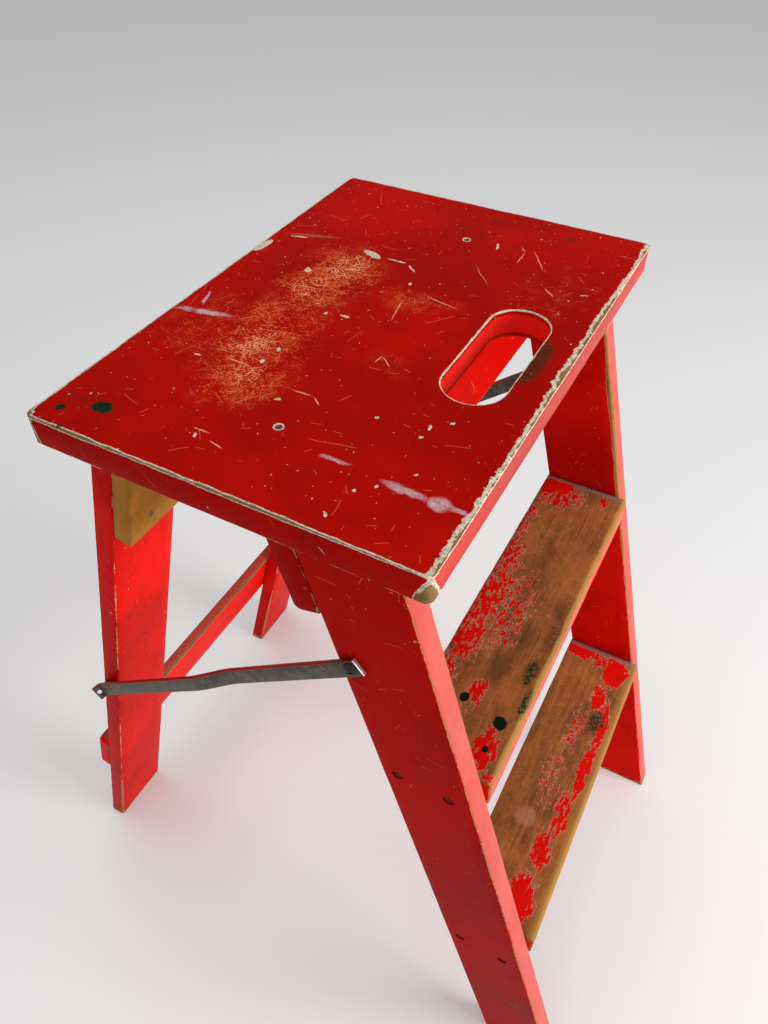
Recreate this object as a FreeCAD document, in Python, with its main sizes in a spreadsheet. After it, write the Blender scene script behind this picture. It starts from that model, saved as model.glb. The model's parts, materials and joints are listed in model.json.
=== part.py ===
import FreeCAD, Part
import math
import os
import Sketcher
from FreeCAD import Placement, Rotation, Vector

os.makedirs("parts", exist_ok=True)
doc = FreeCAD.newDocument("StepStoolChair")

# Driving dimensions, in millimetres and degrees
DIMENSIONS = {
    "stool_height": 660,
    "seat_depth": 257,
    "seat_centre_x": -1.8,
    "seat_width": 370,
    "seat_thick": 20.5,
    "seat_corner": 5,
    "seat_edge": 3,
    "board_edge": 1.8,
    "seat_gap": 0.3,
    "slot_length": 110,
    "slot_width": 40,
    "slot_x": 82.2,
    "slot_y": -2.5,
    "frame_rake": 15.3,
    "front_frame_half": 172.9,
    "stringer_thick": 18.8,
    "stringer_wide": 65,
    "stringer_rear_x": 35.5,
    "tread_thick": 28,
    "tread_nose": 5,
    "upper_tread_top": 440,
    "lower_tread_top": 223.5,
    "front_rail_thick": 18.5,
    "front_rail_bottom": 574.5,
    "rail_corner": 6,
    "leg_front_x": -85.8,
    "leg_thick": 16.7,
    "leg_wide": 65,
    "leg_top_half": 169.6,
    "leg_foot_half": 178.3,
    "rear_rail_half": 170.7,
    "rear_rail_thick": 14.5,
    "rear_rail_bottom": 556,
    "low_rail_half": 176,
    "low_rail_thick": 12,
    "low_rail_top": 196,
    "low_rail_bottom": 132,
    "hinge_barrel": 6.9,
    "hinge_pin": 3,
    "hinge_bore": 3.1,
    "hinge_plate": 1.5,
    "hinge_clear": 0.3,
    "knuckle_clear": 0.25,
    "plate_inset": 0.4,
    "hinge_reach": 21,
    "front_hinge_long": 60,
    "front_hinge_y": 126,
    "rear_hinge_long": 50,
    "rear_hinge_y": 137,
    "bolt_x": 3.2,
    "stay_wide": 13,
    "stay_thick": 3,
    "stay_joggle": 5,
    "stay_gap": 0.3,
    "stay_front_x": 74.2,
    "stay_front_z": 540,
    "stay_rear_x": -177.8,
    "stay_rear_z": 337,
    "stay_step_start": 0.37,
    "stay_step_end": 0.56,
    "stay_tip": 5,
    "stay_tab": 8,
    "stay_tab_hole": 5,
    "stay_bore": 5.1,
    "stay_pin": 5,
    "stay_tab_turn": 65,
    "collar_wide": 10,
    "collar_stem_long": 26,
    "rivet_wide": 4.4,
    "rivet_head": 7.5,
    "rivet_dome": 1.4,
    "pivot_split": 0.3,
    "pivot_head": 11,
    "pivot_dome": 3.2,
    "pivot_long": 21,
    "screw_head": 8,
    "screw_shank": 4.2,
    "tread_screw_long": 50,
    "tread_screw_rear": 12,
    "tread_screw_front": 50,
    "upper_screw_drop": 8.5,
    "lower_screw_drop": 22,
    "rail_screw_long": 45,
    "rail_screw_low": 598,
    "rail_screw_high": 620,
    "nail_head": 5,
    "nail_shank": 2.6,
    "nail_long": 28,
    "nail_y": 151,
    "nail_low": 573,
    "nail_high": 612,
    "low_screw_head": 7.5,
    "low_screw_shank": 4,
    "low_screw_long": 26,
    "low_screw_low": 152,
    "low_screw_high": 176,
    "low_screw_outer": 18,
    "low_screw_inner": 44,
    "hinge_screw_head": 6.4,
    "hinge_screw_shank": 3.2,
    "hinge_screw_long": 14,
    "hinge_screw_reach": 14,
    "hinge_screw_share": 0.36,
    "bolt_head": 8,
    "bolt_shank": 4,
    "bolt_long": 25.2,
    "nut_wide": 7.2,
    "nut_thick": 2.6,
}

sheet = doc.addObject("Spreadsheet::Sheet", "Dims")
for row, (alias, number) in enumerate(DIMENSIONS.items(), start=1):
    sheet.set(f"A{row}", alias)
    sheet.set(f"B{row}", str(number))
    sheet.setAlias(f"B{row}", alias)
doc.recompute()


def dim(alias):
    return float(sheet.get(alias))


# Shared geometry worked out from the sheet
SLOPE = math.tan(math.radians(dim("frame_rake")))
COS_RAKE = math.cos(math.radians(dim("frame_rake")))
SIN_RAKE = math.sin(math.radians(dim("frame_rake")))
UNDERSIDE = dim("stool_height") - dim("seat_thick")
BOARD_TOP = UNDERSIDE - dim("seat_gap")
SIDES = {"right": -1, "left": 1}


def stringer_rear(z):
    return dim("stringer_rear_x") + SLOPE * (UNDERSIDE - z)


def stringer_front(z):
    return stringer_rear(z) + dim("stringer_wide") / COS_RAKE


def leg_front(z):
    return dim("leg_front_x") - SLOPE * (UNDERSIDE - z)


def leg_rear(z):
    return leg_front(z) - dim("leg_thick") / COS_RAKE


def leg_outer(z):
    share = z / UNDERSIDE
    return dim("leg_foot_half") + (dim("leg_top_half") - dim("leg_foot_half")) * share


# Directions down each raked frame and out of its rear face
FRONT_DOWN = Vector(SIN_RAKE, 0, -COS_RAKE)
FRONT_BACK = Vector(-COS_RAKE, 0, -SIN_RAKE)
REAR_DOWN = Vector(-SIN_RAKE, 0, -COS_RAKE)
REAR_BACK = Vector(-COS_RAKE, 0, SIN_RAKE)


# Helpers for bodies, sketches and features
def origin_plane(body, role):
    return next(item for item in body.Origin.OriginFeatures if item.Role == role)


def new_body(label):
    body = doc.addObject("PartDesign::Body", label + "_blank")
    body.Label = label + "_blank"
    body.Placement = Placement()
    return body


def new_sketch(body, name, role, lift=0.0):
    sketch = body.newObject("Sketcher::SketchObject", name)
    sketch.AttachmentSupport = [(origin_plane(body, role), "")]
    sketch.MapMode = "FlatFace"
    sketch.AttachmentOffset = Placement(Vector(0, 0, lift), Rotation())
    return sketch


def draw_polygon(sketch, points):
    first = sketch.GeometryCount
    corners = [Vector(x, y, 0) for x, y in points]
    for start, end in zip(corners, corners[1:] + corners[:1]):
        sketch.addGeometry(Part.LineSegment(start, end), False)
    count = len(corners)
    for index in range(count):
        here = first + index
        after = first + (index + 1) % count
        sketch.addConstraint(Sketcher.Constraint("Coincident", here, 2, after, 1))


def add_pad(body, sketch, length_expression):
    pad = body.newObject("PartDesign::Pad", "Pad")
    pad.Profile = sketch
    pad.setExpression("Length", length_expression)
    return pad


def cut_through(body, sketch):
    doc.recompute()
    before = body.Shape.Volume
    pocket = body.newObject("PartDesign::Pocket", "Cut")
    pocket.Profile = sketch
    pocket.Type = "ThroughAll"
    pocket.Midplane = True
    doc.recompute()
    if body.Shape.Volume > before - 1:
        raise RuntimeError(f"the cut in {body.Label} took nothing away")
    return pocket


def round_edges(body, radius_expression, wanted):
    doc.recompute()
    base = body.Tip
    names = [
        f"Edge{index}"
        for index, edge in enumerate(base.Shape.Edges, start=1)
        if wanted(edge)
    ]
    fillet = body.newObject("PartDesign::Fillet", "Rounding")
    fillet.Base = (base, names)
    fillet.setExpression("Radius", radius_expression)
    doc.recompute()
    return fillet


def runs_along(edge, axis):
    if not isinstance(edge.Curve, (Part.Line, Part.LineSegment)):
        return False
    start, end = edge.Vertexes[0].Point, edge.Vertexes[-1].Point
    return abs((end - start).normalize().dot(axis)) > 0.999


def cross_board(label, outline, half_width, half_expression):
    # A board that runs from side to side: its section is drawn in X and Z
    body = new_body(label)
    sketch = new_sketch(body, label + "_section", "XZ_Plane", -half_width)
    draw_polygon(sketch, outline)
    add_pad(body, sketch, f"2 * ({half_expression})")
    return body


def drill(label, blank, fasteners):
    # The finished board: its blank less the screws, bolts and studs that sit in it
    tools = doc.addObject("Part::Compound", label + "_fasteners")
    tools.Links = fasteners
    tools.Label = label + "_fasteners"
    board = doc.addObject("Part::Cut", label)
    board.Label = label
    board.Base = blank
    board.Tool = tools
    board.Placement = Placement()
    return board


def feature(label, shape):
    item = doc.addObject("Part::Feature", label)
    item.Label = label
    item.Shape = shape
    item.Placement = Placement()
    return item


# Seat board with its hand slot
def make_seat():
    body = new_body("seat_board")
    sketch = new_sketch(body, "seat_outline", "XY_Plane", UNDERSIDE)
    rear_x = dim("seat_centre_x") - dim("seat_depth") / 2
    front_x = rear_x + dim("seat_depth")
    half_y = dim("seat_width") / 2
    draw_polygon(sketch, [(rear_x, -half_y), (front_x, -half_y), (front_x, half_y), (rear_x, half_y)])
    add_pad(body, sketch, "Dims.seat_thick")
    round_edges(body, "Dims.seat_corner", lambda edge: runs_along(edge, Vector(0, 0, 1)))
    slot = new_sketch(body, "hand_slot", "XY_Plane", UNDERSIDE)
    radius = dim("slot_width") / 2
    reach = dim("slot_length") / 2 - radius
    low = Vector(dim("slot_x"), dim("slot_y") - reach, 0)
    high = Vector(dim("slot_x"), dim("slot_y") + reach, 0)
    across = Vector(radius, 0, 0)
    along = Vector(0, radius, 0)
    slot.addGeometry(Part.LineSegment(low + across, high + across), False)
    slot.addGeometry(Part.Arc(high + across, high + along, high - across), False)
    slot.addGeometry(Part.LineSegment(high - across, low - across), False)
    slot.addGeometry(Part.Arc(low - across, low - along, low + across), False)
    cut_through(body, slot)
    top = dim("stool_height")
    round_edges(
        body,
        "Dims.seat_edge",
        lambda edge: all(abs(v.Point.z - top) < 0.01 for v in edge.Vertexes),
    )
    round_edges(
        body,
        "Dims.board_edge",
        lambda edge: all(abs(v.Point.z - UNDERSIDE) < 0.01 for v in edge.Vertexes),
    )
    return body


# Front frame: two raked stringers, two treads and a top rail
def make_stringer(name, side):
    half = dim("front_frame_half")
    left_face = half if side > 0 else dim("stringer_thick") - half
    body = new_body(f"{name}_stringer")
    sketch = new_sketch(body, f"{name}_stringer_outline", "XZ_Plane", -left_face)
    outline = [
        (stringer_rear(0), 0),
        (stringer_front(0), 0),
        (stringer_front(BOARD_TOP), BOARD_TOP),
        (stringer_rear(BOARD_TOP), BOARD_TOP),
    ]
    draw_polygon(sketch, outline)
    add_pad(body, sketch, "Dims.stringer_thick")
    round_edges(body, "Dims.board_edge", lambda edge: runs_along(edge, FRONT_DOWN))
    return body


def make_tread(label, top_alias):
    top = dim(top_alias)
    bottom = top - dim("tread_thick")
    nose = stringer_front(bottom)
    outline = [
        (stringer_rear(top), top),
        (stringer_rear(bottom), bottom),
        (nose, bottom),
        (nose, top),
    ]
    half = dim("front_frame_half") - dim("stringer_thick")
    body = cross_board(label, outline, half, "Dims.front_frame_half - Dims.stringer_thick")
    across = Vector(0, 1, 0)

    def is_nose(edge):
        point = edge.Vertexes[0].Point
        return runs_along(edge, across) and abs(point.x - nose) < 0.01 and abs(point.z - top) < 0.01

    round_edges(body, "Dims.tread_nose", is_nose)
    return body


def make_front_rail():
    thick = dim("front_rail_thick")
    bottom = dim("front_rail_bottom")
    front_low = Vector(stringer_rear(bottom), 0, bottom)
    rear_low = front_low + FRONT_BACK * thick
    rear_top_x = rear_low.x - SLOPE * (BOARD_TOP - rear_low.z)
    outline = [
        (front_low.x, front_low.z),
        (stringer_rear(BOARD_TOP), BOARD_TOP),
        (rear_top_x, BOARD_TOP),
        (rear_low.x, rear_low.z),
    ]
    body = cross_board("front_top_rail", outline, dim("front_frame_half"), "Dims.front_frame_half")

    def is_low_corner(edge):
        offset = edge.Vertexes[0].Point - rear_low
        level = abs(offset.dot(FRONT_DOWN)) < 0.01 and abs(offset.dot(FRONT_BACK)) < 0.01
        return level and runs_along(edge, Vector(0, 1, 0))

    round_edges(body, "Dims.rail_corner", is_low_corner)
    return body


# Rear frame: two legs that spread a little, a top rail and a low rail
def make_leg(name, side):
    body = new_body(f"{name}_rear_leg")
    sketch = new_sketch(body, f"{name}_leg_outline", "YZ_Plane", leg_rear(0) - 1)
    wide = dim("leg_wide")
    draw_polygon(
        sketch,
        [
            (side * leg_outer(0), 0),
            (side * leg_outer(BOARD_TOP), BOARD_TOP),
            (side * (leg_outer(BOARD_TOP) - wide), BOARD_TOP),
            (side * (leg_outer(0) - wide), 0),
        ],
    )
    add_pad(body, sketch, "tan(Dims.frame_rake) * Dims.stool_height + 2 * Dims.leg_thick")
    waste = new_sketch(body, f"{name}_leg_rake", "XZ_Plane")
    low, high = -1, UNDERSIDE
    rear_x = leg_rear(low) - dim("leg_thick")
    draw_polygon(waste, [(leg_front(low), low), (0, low), (0, high), (leg_front(high), high)])
    draw_polygon(waste, [(leg_rear(low), low), (leg_rear(high), high), (rear_x, high), (rear_x, low)])
    cut_through(body, waste)
    down = REAR_DOWN * UNDERSIDE / COS_RAKE
    spread = side * (dim("leg_foot_half") - dim("leg_top_half"))
    along = Vector(down.x, spread, down.z).normalize()
    round_edges(body, "Dims.board_edge", lambda edge: runs_along(edge, along))
    return body


def rear_rail(label, base, top, thick, half_alias):
    # base is the rail's lower corner on the leg; thick is a direction and length away from the leg
    rise = REAR_DOWN * ((base.z - top) / COS_RAKE)
    corners = [base, base + thick, base + thick + rise, base + rise]
    outline = [(point.x, point.z) for point in corners]
    return cross_board(label, outline, dim(half_alias), f"Dims.{half_alias}")


def make_rear_top_rail():
    bottom = dim("rear_rail_bottom")
    base = Vector(leg_front(bottom), 0, bottom)
    thick = REAR_BACK * -dim("rear_rail_thick")
    return rear_rail("rear_top_rail", base, BOARD_TOP, thick, "rear_rail_half")


def make_rear_low_rail():
    bottom = dim("low_rail_bottom")
    base = Vector(leg_rear(bottom), 0, bottom)
    thick = REAR_BACK * dim("low_rail_thick")
    body = rear_rail("rear_low_rail", base, dim("low_rail_top"), thick, "low_rail_half")
    round_edges(body, "Dims.rail_corner", lambda edge: runs_along(edge, REAR_BACK))
    return body


# Butt hinges: each leaf is a plate with its own knuckles round one pin
def knuckle_spans(long, middle):
    third = long / 3
    clear = dim("knuckle_clear")
    if middle:
        return [(-third / 2 + clear, third / 2 - clear)]
    return [(-long / 2, -third / 2 - clear), (third / 2 + clear, long / 2)]


def leaf_shape(axis_point, plate_down, plate_out, long, middle, bore):
    # plate_down runs away from the pin in the plate; plate_out faces the board that the plate is screwed to
    radius = dim("hinge_barrel") / 2
    plate = dim("hinge_plate")
    reach = dim("hinge_reach")
    inset = radius + dim("plate_inset")
    inner = axis_point + plate_out * (radius + dim("hinge_clear") - plate)
    across = Vector(0, 1, 0)
    solids = []
    for start, end in knuckle_spans(long, middle):
        long_way = across * (end - start)
        barrel = Part.makeCylinder(radius, end - start, axis_point + across * start, across)
        neck = prism(inner + across * start, plate_down * (inset + plate), plate_out * plate, long_way)
        solids.append(barrel.fuse(neck))
    corner = inner + plate_down * inset + across * (-long / 2)
    flat = prism(corner, plate_down * (reach - inset), plate_out * plate, across * long)
    pin_hole = Part.makeCylinder(bore / 2, long + 2, axis_point + across * (-long / 2 - 1), across)
    return flat.fuse(solids).cut(pin_hole).removeSplitter()


def prism(corner, first, second, third):
    outline = [corner, corner + first, corner + first + second, corner + second, corner]
    return Part.Face(Part.makePolygon(outline)).extrude(third)


def sunk_screw(tip_direction, head_point, head_alias, shank_alias, long_alias):
    # A countersunk screw: head_point is the middle of its flat head
    head, shank = dim(head_alias), dim(shank_alias)
    cone = Part.makeCone(head / 2, shank / 2, (head - shank) / 2, head_point, tip_direction)
    rod = Part.makeCylinder(shank / 2, dim(long_alias), head_point, tip_direction)
    return cone.fuse(rod).removeSplitter()


def domed_screw(tip_direction, head_point, head_alias, dome_alias, shank_alias, long_alias):
    # Turned about its axis; head_point is the middle of the head's flat seat
    head, dome = dim(head_alias) / 2, dim(dome_alias)
    shank, long = dim(shank_alias) / 2, dim(long_alias)
    across = Vector(0, 0, 1).cross(tip_direction)
    dome_radius = (head * head + dome * dome) / (2 * dome)
    half_way = math.asin(head / dome_radius) / 2
    half_rise = dome_radius * (math.cos(half_way) - 1) + dome

    def at(radius, rise):
        return head_point + across * radius - tip_direction * rise

    outline = [at(0, dome), at(0, -long), at(shank, -long), at(shank, 0), at(head, 0)]
    edges = [Part.makeLine(start, end) for start, end in zip(outline, outline[1:])]
    arc_middle = at(dome_radius * math.sin(half_way), half_rise)
    edges.append(Part.Arc(outline[-1], arc_middle, outline[0]).toShape())
    return Part.Face(Part.Wire(edges)).revolve(head_point, tip_direction, 360)


MOUNT_LIFT = dim("hinge_barrel") / 2 + dim("hinge_clear")
AXIS_Z = UNDERSIDE - MOUNT_LIFT
FRONT_AXIS_X = stringer_rear(AXIS_Z) - (dim("front_rail_thick") + MOUNT_LIFT) / COS_RAKE
REAR_AXIS_X = leg_rear(AXIS_Z) - MOUNT_LIFT / COS_RAKE
FRONT_AXIS = Vector(FRONT_AXIS_X, 0, AXIS_Z)
REAR_AXIS = Vector(REAR_AXIS_X, 0, AXIS_Z)
UP = Vector(0, 0, 1)
BACK = Vector(-1, 0, 0)

HINGE_SETS = {
    "front_hinge": (FRONT_AXIS, FRONT_DOWN, FRONT_BACK * -1, "rail", "front_hinge_long", "front_hinge_y"),
    "rear_hinge": (REAR_AXIS, REAR_DOWN, REAR_BACK * -1, "leg", "rear_hinge_long", "rear_hinge_y"),
}


def make_hinges(groups):
    made = []
    for name, (axis, down, out, owner, long_alias, y_alias) in HINGE_SETS.items():
        long = dim(long_alias)
        for side_name, side in SIDES.items():
            centre = axis + Vector(0, side * dim(y_alias), 0)
            fixed = leaf_shape(centre, down, out, long, False, dim("hinge_pin"))
            moving = leaf_shape(centre, BACK, UP, long, True, dim("hinge_bore"))
            fixed = fixed.cut(groups[f"{name}_{owner}_screws"].Shape)
            moving = moving.cut([groups[f"{name}_seat_screws"].Shape, groups["seat_hinge_bolts"].Shape])
            pin_start = centre + Vector(0, -long / 2, 0)
            pin = Part.makeCylinder(dim("hinge_pin") / 2, long, pin_start, Vector(0, 1, 0))
            made.append(feature(f"{side_name}_{name}_{owner}_leaf", fixed))
            made.append(feature(f"{side_name}_{name}_seat_leaf", moving))
            made.append(feature(f"{side_name}_{name}_pin", pin))
    return made


# Stays: flat strips outside the frames, stepped outwards to the rear, each with a turned-out end
def make_stay(name, side):
    front = Vector(dim("stay_front_x"), 0, dim("stay_front_z"))
    rear = Vector(dim("stay_rear_x"), 0, dim("stay_rear_z"))
    along = (rear - front).normalize()
    edge = Vector(along.z, 0, -along.x)
    outwards = Vector(0, side, 0)
    length = (rear - front).Length
    wide, thick, step = dim("stay_wide"), dim("stay_thick"), dim("stay_joggle")
    inner = dim("front_frame_half") + dim("stay_gap")
    bend = length + dim("stay_tip")
    tab_turn = math.radians(dim("stay_tab_turn"))
    tab_along, tab_out = dim("stay_tab") * math.cos(tab_turn), dim("stay_tab") * math.sin(tab_turn)
    stations = [
        (-wide / 2, 0),
        (length * dim("stay_step_start"), 0),
        (length * dim("stay_step_end"), step),
        (bend, step),
        (bend + tab_along, step + tab_out),
    ]
    outline = stations + list(reversed(offset_chain(stations, thick)))
    corners = [front + along * s + outwards * (inner + h) for s, h in outline]
    face = Part.Face(Part.makePolygon(corners + corners[:1]))
    strip = face.extrude(edge * wide).translated(edge * (-wide / 2))
    drill_start = outwards * (inner - thick)
    drill_long = step + 3 * thick
    bore = Part.makeCylinder(dim("stay_bore") / 2, drill_long, front + drill_start, outwards)
    rivet_hole = Part.makeCylinder(dim("rivet_wide") / 2, drill_long, rear + drill_start, outwards)
    tab_middle = front + along * (bend + tab_along / 2) + outwards * (inner + step + tab_out / 2)
    tab_way = (along * tab_out - outwards * tab_along).normalize()
    tab_start = tab_middle - tab_way * 2 * thick
    tab_hole = Part.makeCylinder(dim("stay_tab_hole") / 2, 4 * thick, tab_start, tab_way)
    shape = strip.cut([bore, rivet_hole, tab_hole]).removeSplitter()
    return feature(f"{name}_stay", shape)


def make_stay_rivet(name, side):
    # The rivet fills the strip and ends just short of the collar on the leg
    inner = dim("front_frame_half") + dim("stay_gap") + dim("stay_joggle")
    outer = inner + dim("stay_thick")
    seat = Vector(dim("stay_rear_x"), side * outer, dim("stay_rear_z"))
    inwards = Vector(0, -side, 0)
    rivet = domed_screw(inwards, seat, "rivet_head", "rivet_dome", "rivet_wide", "stay_thick")
    return feature(f"{name}_stay_rivet", rivet)


def offset_chain(stations, thick):
    # Move a bent line sideways by the strip's thickness, keeping its bends sharp
    moved = []
    count = len(stations)
    for index, (s, h) in enumerate(stations):
        normals = []
        for a, b in ((index - 1, index), (index, index + 1)):
            if a < 0 or b >= count:
                continue
            ds, dh = stations[b][0] - stations[a][0], stations[b][1] - stations[a][1]
            size = math.hypot(ds, dh)
            normals.append((-dh / size, ds / size))
        n_s = sum(n[0] for n in normals) / len(normals)
        n_h = sum(n[1] for n in normals) / len(normals)
        scale = thick / (n_s * n_s + n_h * n_h)
        moved.append((s + n_s * scale, h + n_h * scale))
    return moved


# Screws, bolts and studs, grouped by kind and by the frame that holds them
def tread_screws(side):
    drops = {"upper_tread_top": "upper_screw_drop", "lower_tread_top": "lower_screw_drop"}
    for top_alias, drop_alias in drops.items():
        level = dim(top_alias) - dim(drop_alias)
        for inset_alias in ("tread_screw_rear", "tread_screw_front"):
            point = Vector(stringer_rear(level) + dim(inset_alias), side * dim("front_frame_half"), level)
            yield sunk_screw(Vector(0, -side, 0), point, "screw_head", "screw_shank", "tread_screw_long")


def front_rail_screws(side):
    out = dim("front_frame_half") - dim("stringer_thick") / 2
    for level_alias in ("rail_screw_low", "rail_screw_high"):
        level = dim(level_alias)
        rail_x = stringer_rear(level) - dim("front_rail_thick") / COS_RAKE
        point = Vector(rail_x, side * out, level)
        yield sunk_screw(FRONT_BACK * -1, point, "screw_head", "screw_shank", "rail_screw_long")


def rear_rail_nails(side):
    for level_alias in ("nail_low", "nail_high"):
        level = dim(level_alias)
        surface = Vector(leg_front(level), 0, level) - REAR_BACK * dim("rear_rail_thick")
        point = Vector(surface.x, side * dim("nail_y"), surface.z)
        yield sunk_screw(REAR_BACK, point, "nail_head", "nail_shank", "nail_long")


def low_rail_screws(side):
    places = {"low_screw_low": "low_screw_outer", "low_screw_high": "low_screw_inner"}
    for level_alias, inset_alias in places.items():
        level = dim(level_alias)
        surface = Vector(leg_rear(level), 0, level) + REAR_BACK * dim("low_rail_thick")
        point = Vector(surface.x, side * (leg_outer(level) - dim(inset_alias)), surface.z)
        yield sunk_screw(REAR_BACK * -1, point, "low_screw_head", "low_screw_shank", "low_screw_long")


def stay_pivot_screws(side):
    # The head stands a hinge clearance off the strip
    out = dim("front_frame_half") + dim("stay_gap") + dim("stay_thick") + dim("hinge_clear")
    pivot = Vector(dim("stay_front_x"), side * out, dim("stay_front_z"))
    yield domed_screw(Vector(0, -side, 0), pivot, "pivot_head", "pivot_dome", "stay_pin", "pivot_long")


def stay_collars(side):
    # A stud in the side of the leg, with a collar that the strip lies against
    level = dim("stay_rear_z")
    strip_face = dim("front_frame_half") + dim("stay_gap") + dim("stay_joggle")
    face = leg_outer(level)
    sunk = 0.5
    outwards = Vector(0, side, 0)
    on_leg = Vector(dim("stay_rear_x"), side * face, level)
    collar_long = strip_face - dim("pivot_split") - face + sunk
    collar = Part.makeCylinder(dim("collar_wide") / 2, collar_long, on_leg - outwards * sunk, outwards)
    stem = Part.makeCylinder(dim("rivet_wide") / 2, dim("collar_stem_long"), on_leg, outwards * -1)
    yield collar.fuse(stem).removeSplitter()


def hinge_screws(side, name, on_seat):
    axis, down, out, owner, long_alias, y_alias = HINGE_SETS[name]
    away, into = (BACK, UP) if on_seat else (down, out)
    lift = MOUNT_LIFT - dim("hinge_plate")
    for end in (-1, 1):
        along = side * dim(y_alias) + end * dim("hinge_screw_share") * dim(long_alias)
        point = axis + Vector(0, along, 0) + away * dim("hinge_screw_reach") + into * lift
        yield sunk_screw(into, point, "hinge_screw_head", "hinge_screw_shank", "hinge_screw_long")


def seat_hinge_bolts(side):
    # The bolt goes down through the seat and the leaf of the front hinge into its nut
    drop = Vector(0, 0, -1)
    top = Vector(dim("bolt_x"), side * dim("front_hinge_y"), dim("stool_height"))
    nut_top = Vector(top.x, top.y, UNDERSIDE - dim("hinge_plate"))
    bolt = sunk_screw(drop, top, "bolt_head", "bolt_shank", "bolt_long")
    nut = Part.makeCylinder(dim("nut_wide") / 2, dim("nut_thick"), nut_top, drop)
    yield bolt.fuse(nut).removeSplitter()


def make_fasteners():
    makers = {
        "tread_screws": tread_screws,
        "front_rail_screws": front_rail_screws,
        "rear_rail_nails": rear_rail_nails,
        "low_rail_screws": low_rail_screws,
        "stay_pivot_screws": stay_pivot_screws,
        "stay_collars": stay_collars,
        "front_hinge_rail_screws": lambda side: hinge_screws(side, "front_hinge", False),
        "front_hinge_seat_screws": lambda side: hinge_screws(side, "front_hinge", True),
        "rear_hinge_leg_screws": lambda side: hinge_screws(side, "rear_hinge", False),
        "rear_hinge_seat_screws": lambda side: hinge_screws(side, "rear_hinge", True),
        "seat_hinge_bolts": seat_hinge_bolts,
    }
    groups = {}
    for name, maker in makers.items():
        solids = [solid for side in SIDES.values() for solid in maker(side)]
        groups[name] = feature(name, Part.makeCompound(solids))
    return groups


# Build the fasteners first, then every board with the holes that they need
fasteners = make_fasteners()


HELD = {
    "seat_board": ("seat_hinge_bolts", "front_hinge_seat_screws", "rear_hinge_seat_screws"),
    "stringer": ("tread_screws", "front_rail_screws", "stay_pivot_screws"),
    "rear_leg": ("rear_rail_nails", "low_rail_screws", "stay_collars", "rear_hinge_leg_screws"),
    "tread": ("tread_screws",),
    "front_top_rail": ("front_rail_screws", "front_hinge_rail_screws"),
    "rear_top_rail": ("rear_rail_nails",),
    "rear_low_rail": ("low_rail_screws",),
}


def drilled(blank, kind):
    label = blank.Label.removesuffix("_blank")
    return drill(label, blank, [fasteners[name] for name in HELD[kind]])


parts = [drilled(make_seat(), "seat_board")]
for side_name, side_sign in SIDES.items():
    parts.append(drilled(make_stringer(side_name, side_sign), "stringer"))
    parts.append(drilled(make_leg(side_name, side_sign), "rear_leg"))
    parts.append(make_stay(side_name, side_sign))
    parts.append(make_stay_rivet(side_name, side_sign))
for label in ("upper_tread", "lower_tread"):
    parts.append(drilled(make_tread(label, label + "_top"), "tread"))
parts.append(drilled(make_front_rail(), "front_top_rail"))
parts.append(drilled(make_rear_top_rail(), "rear_top_rail"))
parts.append(drilled(make_rear_low_rail(), "rear_low_rail"))
parts += make_hinges(fasteners)
parts += fasteners.values()
doc.recompute()

# Check every object, then write one file for each sub-part
for item in doc.Objects:
    if "Invalid" in item.State or "Error" in item.State:
        raise RuntimeError(f"{item.Label} has state {item.State}")
for item in parts:
    if item.Shape.isNull() or not item.Shape.isValid():
        raise RuntimeError(f"{item.Label} has no valid shape")
    item.Shape.exportStep(f"parts/{item.Label}.step")
    print(item.Label, round(item.Shape.Volume), len(item.Shape.Solids))
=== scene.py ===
import json
import math
import bpy
from mathutils import Euler, Matrix, Vector


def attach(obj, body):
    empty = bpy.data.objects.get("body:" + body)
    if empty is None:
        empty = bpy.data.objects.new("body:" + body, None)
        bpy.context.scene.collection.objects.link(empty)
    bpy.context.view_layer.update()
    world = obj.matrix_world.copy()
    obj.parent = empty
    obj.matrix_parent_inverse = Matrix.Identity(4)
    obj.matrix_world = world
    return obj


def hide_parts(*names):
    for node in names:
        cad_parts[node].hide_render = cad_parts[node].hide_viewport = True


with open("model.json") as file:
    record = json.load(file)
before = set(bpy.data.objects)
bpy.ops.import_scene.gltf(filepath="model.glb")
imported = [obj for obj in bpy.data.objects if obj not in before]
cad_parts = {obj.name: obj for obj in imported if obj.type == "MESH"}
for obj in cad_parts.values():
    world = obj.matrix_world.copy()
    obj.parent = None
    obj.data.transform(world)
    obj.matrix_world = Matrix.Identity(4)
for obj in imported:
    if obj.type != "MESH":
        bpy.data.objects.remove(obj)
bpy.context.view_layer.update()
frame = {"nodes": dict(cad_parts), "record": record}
print("frame loaded:", len(frame["nodes"]), "nodes")

rake = math.radians(15.3)        # both frames lean by this much
splay = math.radians(0.752)      # the rear legs spread by this much
slope = math.tan(rake)
boardTop = 0.6392                # the boards stop just under the seat
seatUnder = 0.6395               # the seat's underside
frontPlane = 0.0355              # X of the front frame's rear plane at that height
legPlane = -0.0858               # X of the rear legs' front faces at that height
stringerSide = 0.1635            # Y of the middle of a stringer
bodyOf = {node: body for body, members in frame["record"]["behaviour"]["bodies"].items() for node in members}
floatSocket, vectorSocket, colourSocket = "NodeSocketFloat", "NodeSocketVector", "NodeSocketColor"


# Short ways to place shader nodes

def addNode(kind, values=None, tree=None, **settings):
    # made in the tree that its values come from, unless another is given
    # a value is a number, a colour, a vector or another node's output
    values = values or {}
    tree = tree or next(value.id_data for value in values.values() if isinstance(value, bpy.types.NodeSocket))
    made = tree.nodes.new(kind)
    for key, value in settings.items():
        setattr(made, key, value)
    for key, value in values.items():
        if isinstance(value, bpy.types.NodeSocket):
            tree.links.new(value, made.inputs[key])
        else:
            made.inputs[key].default_value = value
    return made


def calc(operation, *terms, clamp=False):
    return addNode("ShaderNodeMath", dict(enumerate(terms)), operation=operation, use_clamp=clamp).outputs[0]


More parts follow.
